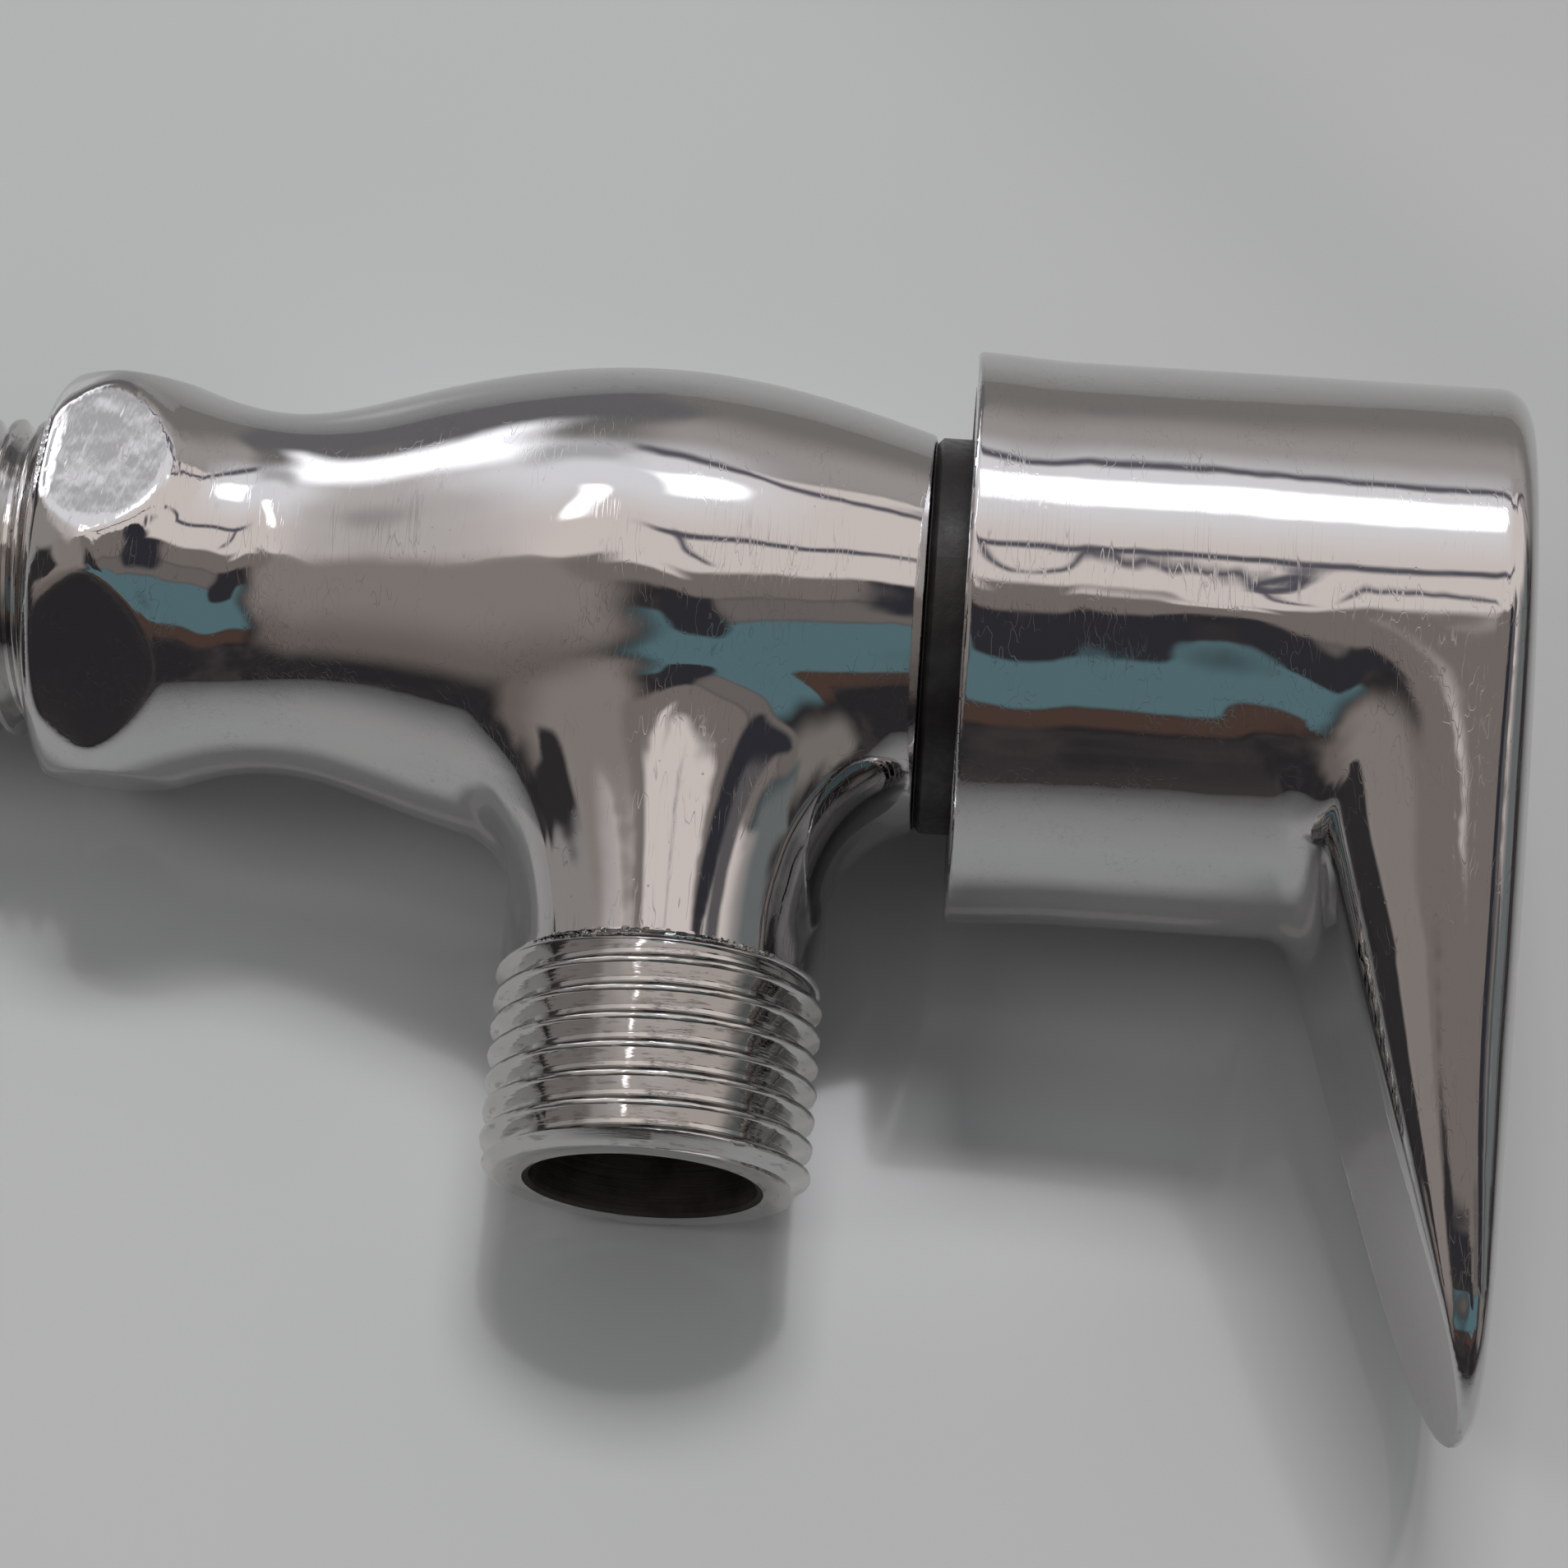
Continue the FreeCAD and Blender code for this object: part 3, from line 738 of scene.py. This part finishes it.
def makeThread(name, length, bore, origin, way, finish, inside):
    facts = pipeThread
    profile = threadProfile()
    deselectAll()
    bpy.ops.mesh.primitive_plane_add(size=mm)
    thread = bpy.context.object
    thread.name = name
    intoEdit(thread)
    bpy.ops.mesh.merge(type="CENTER")
    start = -facts["pitch"]
    bpy.ops.transform.translate(value=(profile[0][1] * mm, 0, (start + profile[0][0]) * mm))
    for before, after in zip(profile, profile[1:]):
        bpy.ops.mesh.extrude_region_move(TRANSFORM_OT_translate={
            "value": ((after[1] - before[1]) * mm, 0, (after[0] - before[0]) * mm)})
    outOfEdit()
    settlePlace(thread)
    turns = math.ceil(length / facts["pitch"]) + 2
    applyModifier(thread, "SCREW", axis="Z", angle=2 * math.pi, screw_offset=facts["pitch"] * mm,
                  iterations=turns, steps=facts["steps"], render_steps=facts["steps"],
                  use_merge_vertices=True, merge_threshold=1e-6, use_normal_calculate=True)
    intoEdit(thread)
    bpy.ops.mesh.remove_doubles(threshold=1e-6)  # one turn's last row is the next turn's first
    outOfEdit()
    tearCrests(thread)
    slicePiece(thread, (0, 0, 0), (0, 0, -1))
    slicePiece(thread, (0, 0, length), (0, 0, 1))
    intoEdit(thread)
    bpy.ops.mesh.normals_make_consistent(inside=False)
    outOfEdit()
    outline = [(length - back, facts["major"] - less) for back, less in facts["tipSteps"]]
    envelope = turnedBlank("threadEnvelope", [(-1, outline[0][1])] + outline, 160)
    carve(thread, envelope, "INTERSECT")
    thread.data.materials.append(finish)
    mouth = [(length - back, bore + more) for back, more in facts["mouthSteps"]]
    drill = turnedBlank("drill", [(-1, bore)] + mouth, 128)
    drill.data.materials.append(inside)
    carve(thread, drill)
    aim(thread, origin, way)
    smoothPiece(thread, 30)
    return thread


threadChromeOutlet = makeThreadFinish("threadChromeOutlet", (42, 0, 0), "Y")
threadChromeInlet = makeThreadFinish("threadChromeInlet", (0, 0, 0), "X")
# the outlet thread's drilled bore takes the turned finish with painted shade
outletThread = makeThread("outletThread", -bodyLow.y - castingForm["threadStart"],
                          waterWays["outletRadius"],
                          (castingForm["outletPlace"], -castingForm["threadStart"], 0), (0, -1, 0),
                          threadChromeOutlet, outletBorePaintedShade)
inletThread = makeThread("inletThread", -bodyLow.x, waterWays["inletRadius"], (0, 0, 0), (-1, 0, 0),
                         threadChromeInlet, inletMetal)
print("stage: threads made", len(outletThread.data.polygons), len(inletThread.data.polygons))


handleForm = {
    "start": 59.7,
    "end": 96.45,
    "radius": 18.45,
    "reach": 51.4,
    "tipRadius": 10.0,
    "rimEdge": 0.35,
    "cupEdge": 2.1,             # rounding of the end face at the cup, then along the lever
    "leverEdge": 3.0,
    "leverEdgeRun": (-6, 16),   # each run says where along the lever a change starts and ends
    "endTilt": 0.035,           # the end face falls away towards the tip
    "longCrown": 1500.0,        # and is a little domed both ways
    "backCrown": 200.0,
    "crossCrown": 90.0,
    "crownSoft": 4.0,
    "flare": 0.3,               # the cup widens by this much at its mouth
    "flareLength": 7.0,
    "lean": 16.6,               # slope of the lever's inner face, in degrees
    "innerStart": 83.1,         # where the inner face leaves the cup
    "innerBow": 0.3,            # it swells a little between cup and tip
    "bowMiddle": 35.0,
    "bowReach": 17.0,
    "flankBlend": 14.0,         # blend from the cup's side into the lever's flank,
    "rootBlend": 3.0,           # and from its lower side into the inner face
    "flankBlendRun": (-1, 5),
    "rootBlendRun": (6, 15),
    "blendDepth": (1, 6),
    "crease": 5.2,              # rounding between flank and inner face, less where the lever thins
    "sharpCrease": 0.3,
    "creaseShare": 0.62,
    "creaseMargin": 2.2,
    "flankBulge": 19.0,         # the lever's flanks round inwards with this radius, tighter by
    "tipBulge": 9.0,            # this much near the tip
    "tipBulgeRun": (20, 40),
    "draftLength": 14.0,
    "tipDraft": 0.4,
    "tipDraftRun": (36, 52),
    "tipEdge": 1.5,             # the rounding at the end face is this much less at the tip
    "tipEdgeRun": (26, 48),
    "wall": 2.25,
    "cupFloor": 92.0,
    "cavityMouth": ((-1, 0.9), (0.1, 0.2), (0.35, 0)),      # (from the mouth, wider than the cavity)
    "cavityFloor": ((-1.5, 0), (-0.4, -0.5), (0, -1.6)),    # (from the floor, wider than the cavity)
    "grain": 0.45,
    "blankRim": (3.0, 2.5),     # the cup's blank before it is settled, then the lever's
    "blankDepth": 16.0,
    "blankMargin": 0.6,
    "blankLess": 0.5,
    "blankTilt": -0.055,
    "blankTiltPlace": -20.0,
    "screwPlace": 78.7,
    "screwAccess": 2.6,
    "accessStart": 10.0,
}


def handleShape(points):
    facts = handleForm
    x, y, z = points.T
    along, side, sign = -y, np.abs(z), np.where(z < 0, -1.0, 1.0)
    nothing = np.zeros(len(x))
    away = np.maximum(np.hypot(y, z), 1e-6)
    mouth = 1 - easeStep(x, facts["start"], facts["start"] + facts["flareLength"])
    ring = away - facts["radius"] - facts["flare"] * mouth, np.stack([nothing, y / away, z / away], 1)
    mouthSlope = facts["flare"] * 6 * np.maximum(mouth * (1 - mouth), 0) ** 0.75 / facts["flareLength"]
    ring[1][:, 0] = mouthSlope
    soft = np.hypot(along, facts["crownSoft"])
    crown = np.where(along > 0, facts["longCrown"], facts["backCrown"])
    fall = facts["endTilt"] * (soft + along) / 2 + along ** 2 / (2 * crown)
    fallSlope = facts["endTilt"] * (along / soft + 1) / 2 + along / crown
    endFace = (x - facts["end"] + fall + z ** 2 / (2 * facts["crossCrown"]),
               np.stack([nothing + 1, -fallSlope, z / facts["crossCrown"]], 1))

    # plan of the lever: from the cup it narrows in straight lines to a round tip
    toTip = facts["reach"] - facts["tipRadius"]
    lessening = (facts["radius"] - facts["tipRadius"]) / toTip
    straight = math.sqrt(1 - lessening ** 2)
    station = straight * along - lessening * side
    fromTip = np.maximum(np.hypot(side, along - toTip), 1e-6)
    narrow = straight * side + lessening * along - facts["radius"]
    narrowWay = np.stack([nothing, nothing - lessening, straight * sign], 1)
    tipWay = np.stack([nothing, -(along - toTip) / fromTip, z / fromTip], 1)
    onCup, onTip = station < 0, station > straight * toTip
    level = np.where(onCup, ring[0], np.where(onTip, fromTip - facts["tipRadius"], narrow))
    way = np.where(onCup[:, None], ring[1], np.where(onTip[:, None], tipWay, narrowWay))

    # the flanks round inwards with depth below the end face
    depth = np.maximum(-endFace[0] - facts["leverEdge"], 0)
    growing = easeStep(station, 0, facts["draftLength"])
    bulge = facts["flankBulge"] - facts["tipBulge"] * easeStep(along, *facts["tipBulgeRun"])
    level = level + growing * depth ** 2 / (2 * bulge)
    way = way - (growing * depth / bulge)[:, None] * endFace[1]
    draft = facts["tipDraft"] * easeStep(along, *facts["tipDraftRun"])
    level = level + draft * easeStep(-endFace[0], 0, facts["leverEdge"])
    size = np.sqrt((way ** 2).sum(1))
    flank = level / size, way / size[:, None]

    lean = math.radians(facts["lean"])
    foot = facts["innerStart"] - math.tan(lean) * facts["radius"]
    inner = flatSide(points, (-math.cos(lean), -math.sin(lean), 0), -foot * math.cos(lean))
    fromMiddle = (along - facts["bowMiddle"]) / facts["bowReach"]
    bow = facts["innerBow"] * np.maximum(1 - fromMiddle ** 2, -1)
    bowSlope = np.where(fromMiddle ** 2 < 2, -2 * facts["innerBow"] * fromMiddle / facts["bowReach"], 0)
    inner = inner[0] - bow, inner[1] + np.stack([nothing, bowSlope, nothing], 1)
    onLever = easeStep(along, *facts["leverEdgeRun"])
    edge = facts["cupEdge"] + (facts["leverEdge"] - facts["cupEdge"]) * onLever
    edge = edge - facts["tipEdge"] * easeStep(along, *facts["tipEdgeRun"])
    cup = roundedCommon(ring, endFace, edge)
    room = facts["end"] - fall - foot - math.tan(lean) * along  # thickness of the lever here
    crease = facts["creaseShare"] * (room - facts["creaseMargin"])
    crease = np.clip(crease, facts["sharpCrease"], facts["crease"])
    lever = roundedCommon(roundedCommon(flank, endFace, edge), inner, crease)
    atRoot = easeStep(along, *facts["rootBlendRun"])
    blend = facts["flankBlend"] + (facts["rootBlend"] - facts["flankBlend"]) * atRoot
    blend = blend * easeStep(along, *facts["flankBlendRun"]) * easeStep(-endFace[0], *facts["blendDepth"])
    whole = roundedJoin(cup, lever, blend + 0.01)
    return roundedCommon(whole, flatSide(points, (-1, 0, 0), -facts["start"]), facts["rimEdge"])


def makeHandle():
    facts = handleForm
    rimDepth, rimLess = facts["blankRim"]
    stations = [(facts["start"], facts["radius"]), (facts["end"] - rimDepth, facts["radius"]),
                (facts["end"], facts["radius"] - rimLess)]
    handle = turnedBlank("castHandle", stations, 64)
    aim(handle, (0, 0, 0), (1, 0, 0))
    heights = facts["end"] - facts["blankDepth"], facts["end"] - facts["blankMargin"]
    lever = turnedBlank("leverBlank", [(height, facts["radius"] - facts["blankLess"]) for height in heights])
    aim(lever, (0, 0, 0), (1, 0, 0))
    tip = turnedBlank("tipBlank", [(height, facts["tipRadius"] - facts["blankLess"]) for height in heights])
    aim(tip, (0, facts["tipRadius"] - facts["reach"], 0), (1, 0, 0))
    joinPieces(lever, tip)
    intoEdit(lever)
    bpy.ops.mesh.convex_hull()
    outOfEdit()
    lean = math.radians(facts["lean"])
    foot = facts["innerStart"] - math.tan(lean) * facts["radius"]
    slicePiece(lever, (foot, 0, 0), (-math.cos(lean), -math.sin(lean), 0))
    slicePiece(lever, (heights[1], facts["blankTiltPlace"], 0), (1, facts["blankTilt"], 0))
    joinPieces(handle, lever)
    applyModifier(handle, "REMESH", mode="VOXEL", voxel_size=facts["grain"] * mm)
    settleOnForm(handle, handleShape, 6)
    relaxOnForm(handle, handleShape, 4)
    sharpenCreases(handle, handleShape, 12)
    sharpenCreases(handle, handleShape, 14)
    handle.data.materials.append(chromeHandle)
    hollow = facts["radius"] - facts["wall"]
    stations = [(facts["start"] + place, hollow + wider) for place, wider in facts["cavityMouth"]]
    stations += [(facts["cupFloor"] + place, hollow + wider) for place, wider in facts["cavityFloor"]]
    cavity = turnedBlank("cavity", stations, 128)
    aim(cavity, (0, 0, 0), (1, 0, 0))
    cavity.data.materials.append(cupMetal)
    carve(handle, cavity)
    stations = [(height, facts["screwAccess"]) for height in (facts["accessStart"], facts["radius"] + 2)]
    access = turnedBlank("access", stations, 64)
    aim(access, (facts["screwPlace"], 0, 0), (0, 0, -1))
    access.data.materials.append(cupMetal)
    carve(handle, access)
    smoothPiece(handle)
    return handle


bossForm = {
    "stations": ((74.2, 7.6), (74.6, 8.0), (handleForm["cupFloor"] + 0.5, 8.0)),
    "socket": ((73, 4.05), (85.7, 4.05)),
    "screwHole": ((3, 2.0), (10, 2.0)),
}


def makeBoss():
    boss = turnedBlank("handleBoss", bossForm["stations"], 96)
    aim(boss, (0, 0, 0), (1, 0, 0))
    boss.data.materials.append(cupMetal)
    socket = turnedBlank("socket", bossForm["socket"], 64)
    aim(socket, (0, 0, 0), (1, 0, 0))
    carve(boss, socket)
    hole = turnedBlank("screwHole", bossForm["screwHole"], 48)
    aim(hole, (handleForm["screwPlace"], 0, 0), (0, 0, -1))
    carve(boss, hole)
    smoothPiece(boss)
    return boss


castHandle = makeHandle()
handleBoss = makeBoss()
print("stage: handle made", len(castHandle.data.polygons))


for piece in (castBody, outletThread, inletThread):
    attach(piece, "body")
    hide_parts("valve_body")
for piece in (castHandle, handleBoss):
    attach(piece, "handle")
    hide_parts("handle")

nodeFinishes = (
    (brassFinish, ("cartridge_housing", "seal_support_ring", "spindle")),
    (blackRubber, ("housing_o_ring", "disc_seat_seal", "spindle_o_ring_inner", "spindle_o_ring_outer")),
    (blackCollar, ("collar_ring",)),
    (whitePlastic, ("glide_washer",)),
    (ceramicFinish, ("fixed_ceramic_disc", "moving_ceramic_disc")),
    (steelFinish, ("retaining_clip", "set_screw")),
)
for finish, nodeNames in nodeFinishes:
    for nodeName in nodeNames:
        node = frame["nodes"][nodeName]
        node.data.materials.clear()
        node.data.materials.append(finish)


# The valve lies on its handle's rim, its collar and its outlet's end, so the floor leans under it.
stageFacts = {
    "floorWay": (0.0689, 0.1837, 0.9806),
    "floorPoint": (59.7, -3.58, -18.1),  # in mm
    "floorGap": 0.00005,        # this and the size in metres
    "floorSize": 6.0,
    "floorColour": (0.52, 0.525, 0.52, 1),
    "floorGloss": 0.1,
    "floorGlaze": 1.65,         # index of the glaze
    "floorCloudGrains": 9,
    "floorPaler": 1.05,
    "worldColour": (0.34, 0.345, 0.35, 1),
}


def makeFloor():
    facts = stageFacts
    deselectAll()
    bpy.ops.mesh.primitive_plane_add(size=facts["floorSize"])
    floor = bpy.context.object
    floor.name = "floor"
    way = Vector(facts["floorWay"]).normalized()
    floor.rotation_mode = "QUATERNION"
    floor.rotation_quaternion = Vector((0, 0, 1)).rotation_difference(way)
    floor.location = Vector(facts["floorPoint"]) * mm - way * facts["floorGap"]
    settlePlace(floor)
    material, tree, shader, place = newFinish("floor")
    cloud = noiseNode(tree, place, facts["floorCloudGrains"], 3.0, 0.5)
    pale = facts["floorColour"]
    paler = shaded(pale, facts["floorPaler"])
    wire(tree, blendColour(tree, window(tree, cloud, 0.35, 0.7), pale, paler), shader.inputs["Base Color"])
    shader.inputs["Roughness"].default_value = facts["floorGloss"]
    shader.inputs["IOR"].default_value = facts["floorGlaze"]
    # seen from below, the floor lets the camera through
    back = tree.nodes.new("ShaderNodeNewGeometry").outputs["Backfacing"]
    clear = tree.nodes.new("ShaderNodeBsdfTransparent").outputs[0]
    mixed = tree.nodes.new("ShaderNodeMixShader")
    wire(tree, back, mixed.inputs[0])
    wire(tree, shader.outputs[0], mixed.inputs[1])
    wire(tree, clear, mixed.inputs[2])
    output = next(node for node in tree.nodes if node.type == "OUTPUT_MATERIAL")
    wire(tree, mixed.outputs[0], output.inputs[0])
    floor.data.materials.append(material)


# What the chrome mirrors. A patch is its band of turn, its band of lean and its colour, laid over the
# ones before. Turn is the angle from straight up towards +Y, and lean the angle towards +X. A band is
# (low, high, softness) in degrees, and a slant turns the patch by that much for each degree of lean.
studio = {
    "base": (0.03, 0.028, 0.03, 1),
    "baseCloud": (0.058, 0.05, 0.05, 1),
    "cloudGrains": 3.5,
    "cloudEdges": (0.42, 0.66),
    "waveHeights": (2.6, 1.2),  # in degrees, then each wave's share of the other angle and of its own, its shift
    "turnWaves": ((1 / 7, 0.0, 0.0), (1 / 3.1, 1 / 19, 0.0)),
    "leanWaves": ((1 / 9, 0.0, 1.0), (1 / 3.7, -1 / 15, 0.0)),
    "patches": {
        "tableEdge": ((-110, -88, 3), (-100, 100, 1), (0.22, 0.20, 0.19)),
        "warmWall": ((-58, 20, 7), (-58, -9, 6), (0.18, 0.155, 0.14)),
        "warmWallNear": ((-36, 20, 16), (-66, -9, 6), (0.30, 0.265, 0.245)),
        "leftEnd": ((-12, 60, 5), (-95, -46, 6), (0.33, 0.31, 0.30)),
        "farWall": ((57, 200, 3), (-46, 64, 10), (0.235, 0.22, 0.21)),
        "farWallNear": ((50, 82, 12), (-2, 60, 4), (0.44, 0.41, 0.40)),
        "farPale": ((122, 200, 5), (-6, 34, 8), (0.34, 0.34, 0.335)),
        "farGlow": ((128, 162, 6), (-34, 2, 8), (0.66, 0.68, 0.69)),
        "shade": ((76, 122, 8), (-32, -3, 3), (0.17, 0.165, 0.175)),
        "coolStrip": ((-47, -20, 1.2), (-4, 34, 4), (0.115, 0.205, 0.23)),
        "warmStrip": ((-55, -47, 1.5), (-4, 34, 4), (0.09, 0.056, 0.045)),
        "paleArc": ((-70, -12, 6), (44, 70, 8), (0.24, 0.22, 0.20)),
        "warmEnd": ((-9, 5, 1.5), (-13, 56, 3), (0.23, 0.20, 0.185)),
        "warmEndLow": ((-20, -9, 1.5), (9, 56, 3), (0.19, 0.17, 0.16)),
        "darkEnd": ((-22, 3, 4), (56, 66, 3), (0.09, 0.115, 0.125)),
        "coolEnd": ((-20, 60, 4), (60, 80, 4), (0.18, 0.195, 0.195)),
        "leverDark": ((-30, -3, 3), (-80, -48, 2.5), (0.035, 0.033, 0.034)),
        "cupDark": ((-26.5, -8, 1.2), (-1, 9, 1), (0.035, 0.034, 0.04)),
        "flankLine": ((-16, 3, 2), (31, 48, 1.5), (0.035, 0.036, 0.045)),
        "ceilingLeft": ((5, 60, 6), (-44, -10, 8), (0.60, 0.56, 0.55)),
        "ceiling": ((3, 56, 1.2), (-24, 58, 10), (0.84, 0.765, 0.73)),
        "ceilingNear": ((-1, 5, 1), (-5, 4.5, 2), (0.84, 0.765, 0.73)),
        "rightEnd": ((-4, 14, 3), (40, 49, 2), (0.13, 0.125, 0.13)),
        "glow": ((30, 60, 10), (-28, 12, 10), (0.96, 0.96, 1.0)),
        "farBright": ((58, 77, 5), (-46, -16, 6), (1.9, 1.92, 2.0)),
        "lineNear": ((52, 55.5, 1.5), (-4, 27, 2), (0.14, 0.13, 0.16)),
        "lineFar": ((62, 66, 2), (27, 56, 3), (0.12, 0.115, 0.14)),
        "beam": ((17, 19.5, 1), (-4, 30, 4), (0.12, 0.115, 0.14)),
        "crossBeam": ((12, 14, 1.2), (1, 12, 1.5), (0.12, 0.115, 0.14)),
        "frontGrey": ((50, 60, 4), (-18, -4, 4), (0.56, 0.56, 0.58)),
        "lamp": ((38, 46, 3), (-2, 7, 3), (5.0, 5.0, 5.2)),
        "smallLamp": ((20, 34, 2), (-16, -13, 1.5), (4.0, 4.0, 4.2)),
        "farLamp": ((64, 69, 2), (-32, -24, 3), (4.0, 4.0, 4.2)),
    },
    "slants": {"lineNear": -0.45, "lineFar": 1.0, "crossBeam": -1.1},
}


def softBand(tree, value, low, high, softness):
    rise = window(tree, value, low - softness, low + softness)
    fall = window(tree, value, high - softness, high + softness, 1.0, 0.0)
    return mathNode(tree, "MULTIPLY", rise, fall)


def addWaves(tree, own, other, waves):  # the room's edges wander a little, as in a hand-polished casting
    value = own
    for height, (otherShare, ownShare, shift) in zip(studio["waveHeights"], waves):
        phase = mathNode(tree, "ADD", mathNode(tree, "MULTIPLY", other, otherShare),
                         mathNode(tree, "MULTIPLY", own, ownShare))
        wave = mathNode(tree, "SINE", mathNode(tree, "ADD", phase, shift))
        value = mathNode(tree, "ADD", value, mathNode(tree, "MULTIPLY", wave, height))
    return value


def makeWorld():
    world = bpy.data.worlds.new("studio")
    bpy.context.scene.world = world
    world.use_nodes = True
    tree = world.node_tree
    tree.nodes.clear()
    output = tree.nodes.new("ShaderNodeOutputWorld")
    ways = tree.nodes.new("ShaderNodeTexCoord").outputs["Generated"]
    split = tree.nodes.new("ShaderNodeSeparateXYZ")
    wire(tree, ways, split.inputs[0])
    degrees = 180 / math.pi
    turn = mathNode(tree, "MULTIPLY", mathNode(tree, "ARCTAN2", split.outputs["Y"], split.outputs["Z"]), degrees)
    lean = mathNode(tree, "MULTIPLY", mathNode(tree, "ARCSINE", split.outputs["X"]), degrees)
    turn, lean = (addWaves(tree, turn, lean, studio["turnWaves"]),
                  addWaves(tree, lean, turn, studio["leanWaves"]))
    cloud = window(tree, noiseNode(tree, ways, studio["cloudGrains"], 3.0, 0.55), *studio["cloudEdges"])
    colour = blendColour(tree, cloud, studio["base"], studio["baseCloud"])
    for patch, (turnBand, leanBand, patchColour) in studio["patches"].items():
        bent = turn
        if patch in studio["slants"]:
            fromMiddle = mathNode(tree, "SUBTRACT", lean, (leanBand[0] + leanBand[1]) / 2)
            aside = mathNode(tree, "MULTIPLY", fromMiddle, studio["slants"][patch])
            bent = mathNode(tree, "SUBTRACT", turn, aside)
        share = mathNode(tree, "MULTIPLY", softBand(tree, bent, *turnBand), softBand(tree, lean, *leanBand))
        colour = blendColour(tree, share, colour, patchColour + (1,))
    reflected = tree.nodes.new("ShaderNodeBackground")
    wire(tree, colour, reflected.inputs[0])
    plain = tree.nodes.new("ShaderNodeBackground")
    plain.inputs[0].default_value = stageFacts["worldColour"]
    paths = tree.nodes.new("ShaderNodeLightPath")
    mixed = tree.nodes.new("ShaderNodeMixShader")
    wire(tree, paths.outputs["Is Glossy Ray"], mixed.inputs[0])
    wire(tree, plain.outputs[0], mixed.inputs[1])
    wire(tree, reflected.outputs[0], mixed.inputs[2])
    wire(tree, mixed.outputs[0], output.inputs[0])


lampTarget = (45, -8, -5)
lamps = (
    {"name": "keyPanel", "from": (120, 900, 1150), "size": (520, 300), "watts": 9.0},
    {"name": "sidePanel", "from": (-900, -100, 1200), "size": (500, 500), "watts": 2.5},
)


def makeLamps():
    target = Vector(lampTarget) * mm
    for facts in lamps:
        data = bpy.data.lights.new(facts["name"], "AREA")
        data.shape = "RECTANGLE"
        data.size, data.size_y = (value * mm for value in facts["size"])
        data.energy = facts["watts"]
        lamp = bpy.data.objects.new(facts["name"], data)
        bpy.context.scene.collection.objects.link(lamp)
        lamp.location = Vector(facts["from"]) * mm
        lamp.rotation_mode = "QUATERNION"
        lamp.rotation_quaternion = (target - lamp.location).to_track_quat("-Z", "Y")
        lamp.visible_glossy = False


cameraFacts = {
    "place": (57.83, -103.615, 247.987),  # in mm
    "turn": (20.5535, 0.4984, 4.1930),
    "lens": 93.73,
    "sensor": 36,
    "clip": (0.01, 20),         # in metres
}


def makeCamera():
    facts = cameraFacts
    data = bpy.data.cameras.new("camera")
    data.lens = facts["lens"]
    data.sensor_width = facts["sensor"]
    data.clip_start, data.clip_end = facts["clip"]
    camera = bpy.data.objects.new("camera", data)
    bpy.context.scene.collection.objects.link(camera)
    camera.location = Vector(facts["place"]) * mm
    camera.rotation_euler = [math.radians(angle) for angle in facts["turn"]]
    bpy.context.scene.camera = camera


makeFloor()
makeWorld()
makeLamps()
makeCamera()
bpy.context.scene.view_settings.view_transform = "Standard"
print("stage: floor, light and camera made")
